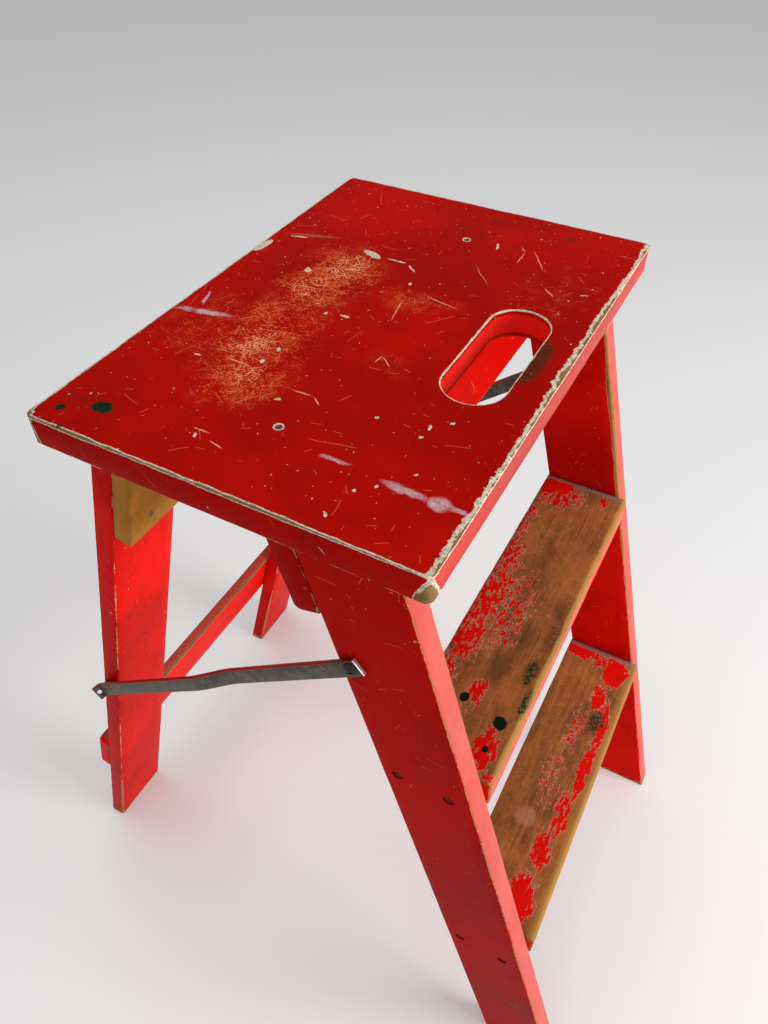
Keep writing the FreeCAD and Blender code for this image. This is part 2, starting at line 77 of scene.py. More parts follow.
def chain(operation, terms):
    result = terms[0]
    for term in terms[1:]:
        result = calc(operation, result, term)
    return result


def times(*terms):
    return chain("MULTIPLY", terms)


def plus(*terms):
    return chain("ADD", terms)


def larger(*terms):
    return chain("MAXIMUM", terms)


def smaller(*terms):
    return chain("MINIMUM", terms)


def minus(first, second, clamp=False):
    return calc("SUBTRACT", first, second, clamp=clamp)


def absolute(value):
    return calc("ABSOLUTE", value)


def vectorCalc(operation, *terms):
    return addNode("ShaderNodeVectorMath", dict(enumerate(terms)), operation=operation).outputs[0]


def split(vector):
    return addNode("ShaderNodeSeparateXYZ", {0: vector}).outputs


def join(x, y, z):
    return addNode("ShaderNodeCombineXYZ", {0: x, 1: y, 2: z}).outputs[0]


def vectorLength(vector):
    return addNode("ShaderNodeVectorMath", {0: vector}, operation="LENGTH").outputs[1]


def span(value, low, high, atLow=0.0, atHigh=1.0, smooth=True):
    kind = "SMOOTHSTEP" if smooth else "LINEAR"
    values = {0: value, 1: low, 2: high, 3: atLow, 4: atHigh}
    return addNode("ShaderNodeMapRange", values, interpolation_type=kind).outputs[0]


def blendValue(factor, under, over):
    return addNode("ShaderNodeMix", {0: factor, 2: under, 3: over}).outputs[0]


def tinted(colour, tone, *amounts):
    # the colour with another over it, by the product of the amounts
    return addNode("ShaderNodeMix", {0: times(*amounts), 6: colour, 7: tone}, data_type="RGBA").outputs[2]


def noise(point, scale, detail=2.0, roughness=0.5):
    values = {"Vector": point, "Scale": scale, "Detail": detail, "Roughness": roughness}
    return addNode("ShaderNodeTexNoise", values).outputs[0]


def swing(value, reach):
    # noise about its middle, as a push of plus or minus about half the reach
    return times(minus(value, 0.5), reach)


def wobble(point, scale, reach, detail=2.0):
    # the point pushed about, so that what is drawn on it gets a ragged outline
    ragged = addNode("ShaderNodeTexNoise", {"Vector": point, "Scale": scale, "Detail": detail}).outputs[1]
    push = vectorCalc("MULTIPLY", vectorCalc("SUBTRACT", ragged, (0.5, 0.5, 0.5)), (reach, reach, reach))
    return vectorCalc("ADD", point, push)


def oval(point, centre, radii, turn=0.0, inner=0.0):
    # 1 in the middle of an oval spot on X and Y, and 0 from its edge on
    total = 0.0
    for radius, angle in ((radii[0], turn), (radii[1], turn + math.pi / 2)):
        way = (math.cos(angle) / radius, math.sin(angle) / radius, 0)
        along = addNode("ShaderNodeVectorMath", {0: point, 1: way}, operation="DOT_PRODUCT").outputs[1]
        away = plus(along, -way[0] * centre[0] - way[1] * centre[1])
        total = calc("MULTIPLY_ADD", away, away, total)
    return span(total, 1.0, inner * inner)


def ovals(point, spots, inner=0.0):
    # the strongest of several oval spots; each is (x, y, radius, radius, turn, how much)
    most = 0.0
    for x, y, rx, ry, turn, much in spots:
        most = larger(times(oval(point, (x, y), (rx, ry), turn, inner), much), most)
    return most


def startGroup(name, inputs, outputs):
    tree = bpy.data.node_groups.new(name, "ShaderNodeTree")
    for label, kind, default in inputs:
        tree.interface.new_socket(name=label, in_out="INPUT", socket_type=kind).default_value = default
    for label, kind in outputs:
        tree.interface.new_socket(name=label, in_out="OUTPUT", socket_type=kind)
    return tree.nodes.new("NodeGroupInput").outputs


def endGroup(results):
    # gives the finished group
    return addNode("NodeGroupOutput", results).id_data


def useGroup(group, values):
    return addNode("ShaderNodeGroup", values, node_tree=group).outputs


# Effects that several materials share

def makeArrisGroup():
    # millimetres from a board's nearest arris; the point is in the board's own axes
    given = startGroup(
        "arrisDistance",
        [("Point", vectorSocket, (0, 0, 0)), ("Half", vectorSocket, (1, 1, 1))],
        [("Distance", floatSocket)],
    )
    gaps = split(vectorCalc("SUBTRACT", given["Half"], vectorCalc("ABSOLUTE", given["Point"])))
    least = smaller(gaps[0], gaps[1])
    most = calc("MAXIMUM", gaps[0], gaps[1])
    second = larger(least, smaller(most, gaps[2]))
    return endGroup({"Distance": times(second, 1000.0)})


def makeGrainGroup():
    # worn softwood with its grain along the point's X; the height is in millimetres
    given = startGroup(
        "woodGrain",
        [("Point", vectorSocket, (0, 0, 0)), ("Light", colourSocket, (0.4, 0.2, 0.09, 1)),
         ("Dark", colourSocket, (0.16, 0.06, 0.02, 1)), ("Streaks", floatSocket, 0.5), ("Seed", floatSocket, 0.0)],
        [("Colour", colourSocket), ("Height", floatSocket)],
    )
    moved = vectorCalc("ADD", given["Point"], join(given["Seed"], given["Seed"], given["Seed"]))
    bent = wobble(moved, 9.0, 0.01)
    rings = noise(vectorCalc("MULTIPLY", bent, (1.8, 42, 42)), 1.0, 1)
    bands = calc("PINGPONG", times(rings, 11.0), 1.0)
    fibres = noise(vectorCalc("MULTIPLY", moved, (20, 950, 950)), 1.0, 3, 0.65)
    cracks = span(noise(vectorCalc("MULTIPLY", bent, (9, 520, 520)), 1.0, 2, 0.5), 0.66, 0.72)
    tone = plus(0.5, swing(noise(moved, 24.0, 4, 0.62), 1.5), swing(noise(moved, 210.0, 3, 0.7), 0.8))
    tone = plus(tone, times(given["Streaks"], plus(swing(fibres, 1.6), times(bands, -0.42), 0.2)))
    tone = minus(tone, times(cracks, given["Streaks"], 0.6), clamp=True)
    height = plus(times(fibres, 0.1), times(bands, -0.03), times(cracks, -0.12))
    return endGroup({"Colour": tinted(given["Dark"], given["Light"], tone), "Height": height})


def cellFrame(point, cells):
    # random cells over X and Y: the place in the cell, turned at random, and the cell's three random numbers
    scaled = vectorCalc("MULTIPLY", point, (cells, cells, 1))
    cell = addNode("ShaderNodeTexVoronoi", {"Vector": scaled, "Scale": 1.0}, voronoi_dimensions="2D").outputs
    luck = addNode("ShaderNodeSeparateColor", {0: cell["Color"]}).outputs
    away = vectorCalc("SUBTRACT", scaled, cell["Position"])
    values = {"Vector": away, "Angle": times(luck[0], 2 * math.pi)}
    inside = split(addNode("ShaderNodeVectorRotate", values, rotation_type="Z_AXIS").outputs[0])
    return inside[0], inside[1], luck


def makeScratchGroup():
    # thin scratches of several lengths, slightly bent, each at its own angle
    given = startGroup(
        "scratches",
        [("Point", vectorSocket, (0, 0, 0)), ("Amount", floatSocket, 0.2), ("Finer", floatSocket, 1.0)],
        [("Mask", floatSocket)],
    )
    bent = wobble(given["Point"], 45.0, 0.005, 1.0)
    scaled = vectorCalc("MULTIPLY", bent, join(given["Finer"], given["Finer"], 1.0))
    total = 0.0
    for cells, width, shift in ((33, 0.0004, 0.31), (60, 0.00036, 1.17), (96, 0.00034, 2.3), (165, 0.0003, 3.9)):
        along, across, luck = cellFrame(vectorCalc("ADD", scaled, (shift, shift * 0.6, 0)), cells)
        thick = times(given["Finer"], width * cells)
        reach = span(luck[1], 0.0, 1.0, 0.16, 0.6, False)
        line = times(span(absolute(along), reach, times(reach, 0.7)),
                     span(absolute(across), thick, times(thick, 0.3)))
        line = times(line, times(calc("LESS_THAN", luck[2], given["Amount"]), span(luck[1], 0.0, 1.0, 0.5, 1.0)))
        total = larger(line, total)
    return endGroup({"Mask": total})


def makeFleckGroup():
    # small ragged flecks, each longer than wide
    given = startGroup(
        "flecks",
        [("Point", vectorSocket, (0, 0, 0)), ("Amount", floatSocket, 0.1), ("Size", floatSocket, 0.001)],
        [("Mask", floatSocket)],
    )
    ragged = wobble(given["Point"], 800.0, 0.0013)
    total = 0.0
    for cells, part, shift in ((47, 1.5, 0.9), (105, 1.0, 2.1), (215, 0.6, 4.7)):
        along, across, luck = cellFrame(vectorCalc("ADD", ragged, (shift, shift * 0.7, 0)), cells)
        size = times(given["Size"], cells * part, plus(0.25, times(luck[1], luck[1])))
        reach = vectorLength(join(along, times(across, 2.6), 0.0))
        spot = times(span(reach, size, times(size, 0.7)), calc("LESS_THAN", luck[2], given["Amount"]))
        total = larger(spot, total)
    return endGroup({"Mask": total})


def makeLayerGroup():
    # what shows as enamel wears away: a rim of undercoat, then wood
    # wear and rim are in millimetres, from the paint's broken edge inwards
    given = startGroup(
        "paintLayers",
        [("Wear", floatSocket, 0.0), ("Rim", floatSocket, 0.6), ("Paint", colourSocket, (0.5, 0.01, 0.006, 1)),
         ("Undercoat", colourSocket, (0.62, 0.52, 0.38, 1)), ("Wood", colourSocket, (0.2, 0.08, 0.03, 1)),
         ("Gloss", floatSocket, 0.3)],
        [("Colour", colourSocket), ("Roughness", floatSocket), ("Height", floatSocket), ("Bare", floatSocket)],
    )
    gone = span(given["Wear"], 0.0, 0.15)
    bare = span(given["Wear"], given["Rim"], plus(given["Rim"], 0.3))
    colour = tinted(given["Paint"], given["Undercoat"], gone)
    return endGroup({
        "Colour": tinted(colour, given["Wood"], bare),
        "Roughness": blendValue(gone, given["Gloss"], 0.64),
        "Height": plus(times(gone, -0.16), times(bare, -0.12)),
        "Bare": bare,
    })


arrisGroup = makeArrisGroup()
grainGroup = makeGrainGroup()
scratchGroup = makeScratchGroup()
fleckGroup = makeFleckGroup()
layerGroup = makeLayerGroup()
print("shared effects made")

enamelColours = {
    # painted light: a lighter copy of the same red enamel, standing in for stronger light on some boards
    "brightRed": (0.84, 0.0085, 0.005, 1),
    "red": (0.56, 0.0045, 0.0022, 1),
    "deepRed": (0.4, 0.004, 0.0022, 1),
    "grime": (0.17, 0.01, 0.005, 1),
    "rubbed": (0.85, 0.17, 0.075, 1),
    "cream": (0.8, 0.68, 0.5, 1),
    "greyCream": (0.5, 0.42, 0.31, 1),
    # sun-faded paint, which also stands in for the sheen of light on front faces: partly painted highlight
    "faded": (0.74, 0.195, 0.16, 1),
}


# what a painted board's own look leaves out
plainLook = {
    "least": 0.45,           # the narrowest wear, as a part of the widest
    "nicks": 1.6,
    "teeth": 1.5,
    "flecks": 0.03,
    "fleckSize": 0.0011,
    "scratches": 0.05,
    "reds": ("deepRed", "red"),
    "woodLight": (0.56, 0.27, 0.085, 1),
    "woodDark": (0.24, 0.1, 0.03, 1),
    "streaks": 0.6,
}


def startMaterial(name, board):
    # the point in the object's own frame, and in the board's own axes
    material = bpy.data.materials.new(name)
    material.use_nodes = True
    material.node_tree.nodes.clear()
    place = addNode("ShaderNodeTexCoord", tree=material.node_tree).outputs["Object"]
    values = {"Vector": place, "Location": board["centre"], "Rotation": board["turn"]}
    return material, place, addNode("ShaderNodeMapping", values, vector_type="TEXTURE").outputs[0]


def finishMaterial(colour, roughness, height, metallic=0.0, specular=0.5):
    # the height is in millimetres
    bump = addNode("ShaderNodeBump", {"Height": height, "Strength": 1.0, "Distance": 0.001}).outputs[0]
    values = {"Base Color": colour, "Roughness": roughness, "Metallic": metallic, "Normal": bump,
              "Specular IOR Level": specular}
    addNode("ShaderNodeOutputMaterial", {0: addNode("ShaderNodeBsdfPrincipled", values).outputs[0]})


def faceMap(local, half):
    # a board's two longer sides as X and Y, skewed by its thickness, so that a flat pattern
    # reaches its narrow faces too
    order = sorted(range(3), key=lambda axis: -half[axis])
    parts = split(local)
    thin = parts[order[2]]
    return join(plus(parts[order[0]], times(thin, 0.43)), plus(parts[order[1]], times(thin, 0.91)), 0.0)


def ragged(at, reach, nicks, teeth):
    # a reach with a broken edge
    return plus(reach, swing(at["nicks"], nicks), swing(at["teeth"], teeth))


def wearPast(reach, *gaps):
    # what is left of a reach in millimetres past the largest of the gaps, which are in metres
    return plus(reach, times(larger(*gaps), -1000.0))


def enamel(name, board, look, grainAxis=2, distance=None, extraWear=None, rimWidth=None, overlays=None):
    # glossy red paint over wood, worn along the arrises and wherever extraWear says
    material, place, local = startMaterial(name, board)
    look = {**plainLook, **look}
    seed, edge = look["seed"], look["edge"]
    shifted = vectorCalc("ADD", place, (seed, seed * 0.7, seed * 0.3))
    gap = distance(local) if distance else useGroup(arrisGroup, {"Point": local, "Half": board["half"]})["Distance"]
    at = {
        "place": place,
        "local": local,
        "drift": noise(shifted, 11.0, 2),
        "nicks": noise(shifted, 85.0, 2, 0.6),
        "teeth": noise(shifted, 420.0, 3, 0.7),
    }
    reach = ragged(at, span(at["drift"], 0.35, 0.65, look["least"] * edge, edge), look["nicks"], look["teeth"])
    wear = minus(reach, gap)
    if extraWear:
        wear = larger(wear, extraWear(at))
    moved = vectorCalc("ADD", faceMap(local, board["half"]), (seed, seed * 0.37, 0))
    flecks = useGroup(fleckGroup, {"Point": moved, "Amount": look["flecks"], "Size": look["fleckSize"]})["Mask"]
    wear = larger(wear, plus(times(flecks, 0.34), -0.04))
    scratch = useGroup(scratchGroup, {"Point": moved, "Amount": look["scratches"]})["Mask"]

    tone = noise(shifted, 6.5, 4, 0.6)
    deeper, lighter = [enamelColours[shade] for shade in look["reds"]]
    red = tinted(deeper, lighter, span(tone, 0.36, 0.66))
    smudge = times(span(noise(shifted, 36.0, 4, 0.7), 0.55, 0.75), 0.35)
    grit = times(span(noise(shifted, 620.0, 2, 0.7), 0.62, 0.72), 0.4)
    red = tinted(red, enamelColours["grime"], larger(smudge, grit))
    red = tinted(red, enamelColours["rubbed"], scratch, 0.6)
    parts = split(local)
    along = join(parts[grainAxis], *[parts[axis] for axis in range(3) if axis != grainAxis])
    values = {"Light": look["woodLight"], "Dark": look["woodDark"], "Streaks": look["streaks"], "Seed": seed}
    wood = useGroup(grainGroup, {"Point": along, **values})
    speckle = noise(shifted, 560.0, 2, 0.6)
    undercoat = tinted(look["undercoat"], look["dirtyUndercoat"], span(speckle, 0.44, 0.6))
    rim = rimWidth(at) if rimWidth else look["rim"]
    gloss = plus(span(tone, 0.3, 0.7, 0.25, 0.36), times(larger(scratch, smudge), 0.15))
    coats = {"Paint": red, "Undercoat": undercoat, "Wood": wood["Colour"], "Gloss": gloss}
    layers = useGroup(layerGroup, {"Wear": wear, "Rim": rim, **coats})
    colour, roughness = layers["Colour"], layers["Roughness"]
    at["bare"] = span(wear, 0.0, 0.15)
    if overlays:
        colour, roughness = overlays(at, colour, roughness)
    brushed = noise(vectorCalc("MULTIPLY", along, (16, 240, 240)), 1.0, 2)
    height = plus(layers["Height"], times(brushed, 0.035), times(wood["Height"], plus(0.12, layers["Bare"])))
    finishMaterial(colour, roughness, height, specular=0.01)
    return material


# Carpentry

smoothAngle = math.radians(40)
dentReach = 0.005                # how far in from an arris it is dented
onFace = 0.00001                 # within this of a face is on it
longEdge = 0.01                  # longer than this goes through a board


def deselectAll():
    if bpy.context.object and bpy.context.object.mode != "OBJECT":
        bpy.ops.object.mode_set(mode="OBJECT")
    bpy.ops.object.select_all(action="DESELECT")


def useOnly(piece):
    deselectAll()
    piece.select_set(True)
    bpy.context.view_layer.objects.active = piece


def makeBoard(centre, turn, size):
    # where a board goes, and its size
    return {"centre": tuple(centre), "turn": turn, "size": size, "half": tuple(length / 2 for length in size)}


def sawBlank(name, size):
    # a square-edged block, in its own axes
    deselectAll()
    bpy.ops.mesh.primitive_cube_add(size=1, location=(0, 0, 0), scale=size)
    piece = bpy.context.object
    piece.name = name
    bpy.ops.object.transform_apply(location=False, rotation=False, scale=True)
    return piece


def sawDowel(width, long, place=(0, 0, 0), corners=24):
    # a round bar along Z, to cut holes with
    deselectAll()
    bpy.ops.mesh.primitive_cylinder_add(vertices=corners, radius=width / 2, depth=long, location=place)
    return bpy.context.object


def setInPlace(piece, board):
    useOnly(piece)
    piece.rotation_euler = board["turn"]
    piece.location = board["centre"]
    bpy.ops.object.transform_apply(location=True, rotation=True, scale=True)


def sawOff(piece, board, point, normal):
    # takes away what lies on the side that the normal points to; point and normal are in the object's own frame
    turn = Euler(board["turn"]).to_matrix().inverted()
    useOnly(piece)
    bpy.ops.object.mode_set(mode="EDIT")
    bpy.ops.mesh.select_all(action="SELECT")
    bpy.ops.mesh.bisect(plane_co=turn @ (Vector(point) - Vector(board["centre"])), plane_no=turn @ Vector(normal),
                        use_fill=True, clear_outer=True, clear_inner=False)
    bpy.ops.object.mode_set(mode="OBJECT")


def trimEnds(piece, board):
    # level with the floor and with the seat's underside
    for level, up in ((0.0, -1), (boardTop, 1)):
        sawOff(piece, board, (0, 0, level), (0, 0, up))


def cutAway(piece, cutter):
    useOnly(piece)
    boolean = piece.modifiers.new("cut", "BOOLEAN")
    boolean.operation, boolean.solver, boolean.object = "DIFFERENCE", "EXACT", cutter
    bpy.ops.object.modifier_apply(modifier="cut")
    bpy.data.objects.remove(cutter)


def roundArrises(piece, width, segments=3, sharp=35):
    useOnly(piece)
    bevel = piece.modifiers.new("arris", "BEVEL")
    bevel.width, bevel.segments, bevel.limit_method = width, segments, "ANGLE"
    bevel.angle_limit = math.radians(sharp)
    bpy.ops.object.modifier_apply(modifier="arris")


def bevelEdges(piece, width, segments, wanted):
    # rounds the edges that wanted(end, end) picks
    useOnly(piece)
    bpy.ops.object.mode_set(mode="EDIT")
    bpy.ops.mesh.select_mode(type="EDGE")
    bpy.ops.mesh.select_all(action="DESELECT")
    bpy.ops.object.mode_set(mode="OBJECT")
    points = piece.data.vertices
    for edge in piece.data.edges:
        edge.select = bool(wanted(points[edge.vertices[0]].co, points[edge.vertices[1]].co))
    bpy.ops.object.mode_set(mode="EDIT")
    bpy.ops.mesh.bevel(offset=width, segments=segments, affect="EDGES")
    bpy.ops.object.mode_set(mode="OBJECT")


def score(piece, axis, step):
    # cuts the mesh across every few millimetres, so that it can wear unevenly
    useOnly(piece)
    low = min(v.co[axis] for v in piece.data.vertices)
    high = max(v.co[axis] for v in piece.data.vertices)
    count = max(1, round((high - low) / step))
    normal = [0, 0, 0]
    normal[axis] = 1
    bpy.ops.object.mode_set(mode="EDIT")
    for index in range(1, count):
        point = [0, 0, 0]
        point[axis] = low + (high - low) * index / count
        bpy.ops.mesh.select_all(action="SELECT")
        bpy.ops.mesh.bisect(plane_co=point, plane_no=normal)
    bpy.ops.object.mode_set(mode="OBJECT")


def wearDown(piece, half, look, rim=None):
    # dents along the arrises and a slight unevenness of the faces, both only inwards
    for axis, step in look["scored"]:
        score(piece, axis, step)
    useOnly(piece)
    arris = piece.vertex_groups.new(name="arris")
    for vertex in piece.data.vertices:
        gaps = sorted(h - abs(c) for h, c in zip(half, vertex.co))
        gap = max(gaps[1], 0.0)
        if rim:
            gap = min(gap, max(rim(vertex.co.x, vertex.co.y), half[2] - abs(vertex.co.z)))
        near = max(0.0, 1.0 - gap / dentReach)
        if near > 0:
            arris.add([vertex.index], near * near, "REPLACE")
    dentSize, waveSize = look.get("wearSizes", (0.02, 0.12))
    dents, waves = ("dents", "arris", look["dent"], dentSize), ("waves", "", look["wave"], waveSize)
    for label, group, strength, size in (dents, waves):
        texture = bpy.data.textures.new(f"{piece.name}_{label}", "CLOUDS")
        texture.noise_scale, texture.noise_depth = size, 2
        modifier = piece.modifiers.new(label, "DISPLACE")
        modifier.texture, modifier.texture_coords = texture, "GLOBAL"
        modifier.vertex_group = group
        modifier.strength, modifier.mid_level = strength, 1.0
        bpy.ops.object.modifier_apply(modifier=label)
    piece.vertex_groups.clear()


def pieceName(node):
    # right_rear_leg gives rightRearLeg
    first, *rest = node.split("_")
    return first + "".join(word.title() for word in rest)


def dress(piece, node, material):
    useOnly(piece)
    bpy.ops.object.shade_smooth_by_angle(angle=smoothAngle)
    piece.data.materials.clear()
    piece.data.materials.append(material)
    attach(piece, bodyOf[node])
    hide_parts(node)
    print("made", piece.name, len(piece.data.vertices), "points")


def sinkHoles(piece, board, holes):
    # round blind holes; each is (point on the face, way in, width, depth), in the object's own frame
    turn = Euler(board["turn"]).to_matrix().inverted()
    for point, inwards, width, depth in holes:
        way = (turn @ Vector(inwards)).normalized()
        cutter = sawDowel(width, depth + 0.002)
        cutter.location = turn @ (Vector(point) - Vector(board["centre"])) + way * (depth / 2 - 0.001)
        cutter.rotation_euler = way.to_track_quat("Z", "Y").to_euler()
        bpy.ops.object.transform_apply(location=True, rotation=True, scale=True)
        cutAway(piece, cutter)


# Front frame

def rearLine(z):
    # X of the front frame's rear plane at a height
    return frontPlane + slope * (seatUnder - z)


def legFront(z):
    # X of the rear legs' front faces at a height
    return legPlane - slope * (seatUnder - z)


def footWear(at, high=3.5):
    # scuffs at a board's foot, up to about a centimetre high
    return plus(high, swing(at["drift"], 14.0), swing(at["nicks"], 12.0), times(split(at["place"])[2], -1000.0))


def fadedFrontAndSheen(at, colour, half, much):
    # the sun has faded the paint of a board's front face, and a painted sheen lightens it more, as light on glossy
    # paint would: partly real fading, partly painted highlight
    front = span(split(at["local"])[0], half[0] - 0.0011, half[0] - 0.0004)
    paint = minus(1.0, at["bare"], clamp=True)
    cloud = span(noise(at["place"], 22.0, 3, 0.6), 0.3, 0.7, 0.75 * much, much)
    return tinted(colour, enamelColours["faded"], front, paint, cloud)


stringer = {
    "size": (0.065, 0.0188, 0.682),
    "face": 0.1729,
    "arris": 0.0017,
    "scored": ((2, 0.007), (0, 0.011)),    # the axes that the mesh is cut along, and the steps
    "dent": 0.0005,
    "wave": 0.0002,
    "screwLevels": (0.4315, 0.2015),
    "screwInsets": (0.012, 0.05),
    "screwHole": (0.0084, 0.0024),         # width and depth
    "look": {"edge": 1.25, "rim": 0.25, "flecks": 0.035,
             "undercoat": (0.72, 0.28, 0.14, 1), "dirtyUndercoat": (0.5, 0.2, 0.09, 1)},
    # how much the front face is faded and given a painted sheen
    "faded": 0.62,
}


def screwPoints(side):
    # where the treads' screws go in
    return [(rearLine(z) + inset, side * stringer["face"], z)
            for z in stringer["screwLevels"] for inset in stringer["screwInsets"]]


def makeStringer(node, side, seed):
    name = pieceName(node)
    z = boardTop / 2
    x = rearLine(z) + stringer["size"][0] / math.cos(rake) / 2
    board = makeBoard((x, side * stringerSide, z), (0, -rake, 0), stringer["size"])
    half = board["half"]
    piece = sawBlank(name, board["size"])
    trimEnds(piece, board)
    roundArrises(piece, stringer["arris"])
    sinkHoles(piece, board, [(point, (0, -side, 0), *stringer["screwHole"]) for point in screwPoints(side)])
    wearDown(piece, half, stringer)
    setInPlace(piece, board)

    def frontEdges(at):
        # the front arrises are worn most; on the left stringer the inner one is bare wood at the top
        parts = split(at["local"])
        front = minus(half[0], parts[0])
        across = times(parts[1], side)
        inner, outer = plus(half[1], across), minus(half[1], across)
        high = span(parts[2], -0.12, 0.22)
        wide = plus(1.3, times(high, 2.3 if side > 0 else 0.3))
        thin = plus(1.25, times(high, -0.2))
        worn = -5.0
        for gap, width in ((inner, wide), (outer, thin)):
            reach = times(width, span(at["drift"], 0.35, 0.62, 0.55, 1.15))
            worn = larger(wearPast(ragged(at, reach, 1.6, 2.0), front, gap), worn)
        return larger(worn, footWear(at))

    # faded paint and a painted sheen on the front face
    def bleachedAndSheen(at, colour, roughness):
        return fadedFrontAndSheen(at, colour, half, stringer["faded"]), roughness

    # painted light: the left stringer's inner face lies in the seat's shade, so its red uses the lighter copy
    look = dict(stringer["look"], seed=seed, reds=("red", "brightRed") if side > 0 else ("deepRed", "red"))
    material = enamel(name + "Enamel", board, look, extraWear=frontEdges, overlays=bleachedAndSheen)
    dress(piece, node, material)


makeStringer("right_stringer", -1, 1.0)
makeStringer("left_stringer", 1, 3.7)

tread = {
    "half": 0.1541,
    "thick": 0.028,
    "arris": 0.0013,
    "nose": 0.0045,
    "scored": ((1, 0.005), (0, 0.006)),
    "dent": 0.0008,
    "wave": 0.0005,
    "wearSizes": (0.018, 0.05),
    # painted light: the treads' paint uses the lighter copy of the red, standing in for stronger light
    "look": {"edge": 2.2, "rim": 0.24, "flecks": 0.05, "reds": ("brightRed", "brightRed"), "streaks": 0.7,
             "undercoat": (0.85, 0.47, 0.33, 1), "dirtyUndercoat": (0.58, 0.24, 0.14, 1),
             "woodLight": (0.6, 0.215, 0.062, 1), "woodDark": (0.19, 0.072, 0.024, 1)},
    # how much the front face is faded and given a painted sheen
    "faded": 0.75,
}

# paint left on top, drops and splashes of dark paint, and one pale spot: x and y of the middle and the radii
# in metres, then, but not for drops, the turn and how much
upperTread = {
    "top": 0.44,
    "seed": 5.1,
    "strip": 0.004,          # clean wood along the nosing
    "paint": [
        (0.1, 0.144, 0.024, 0.021, 0, 1), (0.11, 0.132, 0.026, 0.026, 0, 0.58),
        (0.147, 0.139, 0.005, 0.016, 0, 0.7), (0.094, 0.085, 0.009, 0.04, 0, 0.52),
        (0.097, 0.04, 0.014, 0.036, 0, 0.56), (0.101, -0.005, 0.018, 0.042, 0, 0.62),
        (0.099, -0.05, 0.019, 0.04, 0, 0.64), (0.098, -0.09, 0.014, 0.03, 0, 0.58),
        (0.121, -0.01, 0.018, 0.06, 0, 0.44), (0.128, -0.092, 0.009, 0.014, 0.1, 0.72),
        (0.112, -0.12, 0.016, 0.028, 0, 0.55), (0.15, -0.13, 0.01, 0.028, 0.1, 0.74),
        (0.16, -0.154, 0.007, 0.007, 0, 0.9),
    ],
    "drops": [(0.121, -0.1005, 0.0042, 0.0046), (0.1513, -0.1085, 0.0054, 0.006), (0.15, -0.1315, 0.0025, 0.0028)],
    "splashes": [(0.1545, -0.06, 0.007, 0.017, 0, 1), (0.161, -0.085, 0.0045, 0.02, 0, 1)],
    "pale": [],
}
lowerTread = {
    "top": 0.2235,
    "seed": 7.9,
    "strip": 0.008,
    "paint": [
        (0.163, 0.145, 0.022, 0.016, 0, 0.95), (0.186, 0.14, 0.01, 0.014, 0, 0.66),
        (0.204, 0.134, 0.015, 0.027, 0.1, 1.05), (0.2, 0.094, 0.01, 0.022, 0.1, 0.84),
        (0.212, 0.062, 0.007, 0.044, 0.03, 0.74), (0.212, 0.01, 0.007, 0.045, 0, 0.82),
        (0.206, -0.04, 0.01, 0.036, 0.1, 0.66), (0.203, -0.081, 0.01, 0.026, 0.1, 0.76),
        (0.2, -0.128, 0.016, 0.03, 0.08, 0.92), (0.19, 0.05, 0.012, 0.04, 0, 0.46),
        (0.186, -0.01, 0.014, 0.05, 0, 0.33),
    ],
    "drops": [],
    "splashes": [(0.206, 0.067, 0.012, 0.017, 0, 1)],
    "pale": [(0.179, -0.0575, 0.012, 0.012, 0, 1)],
}


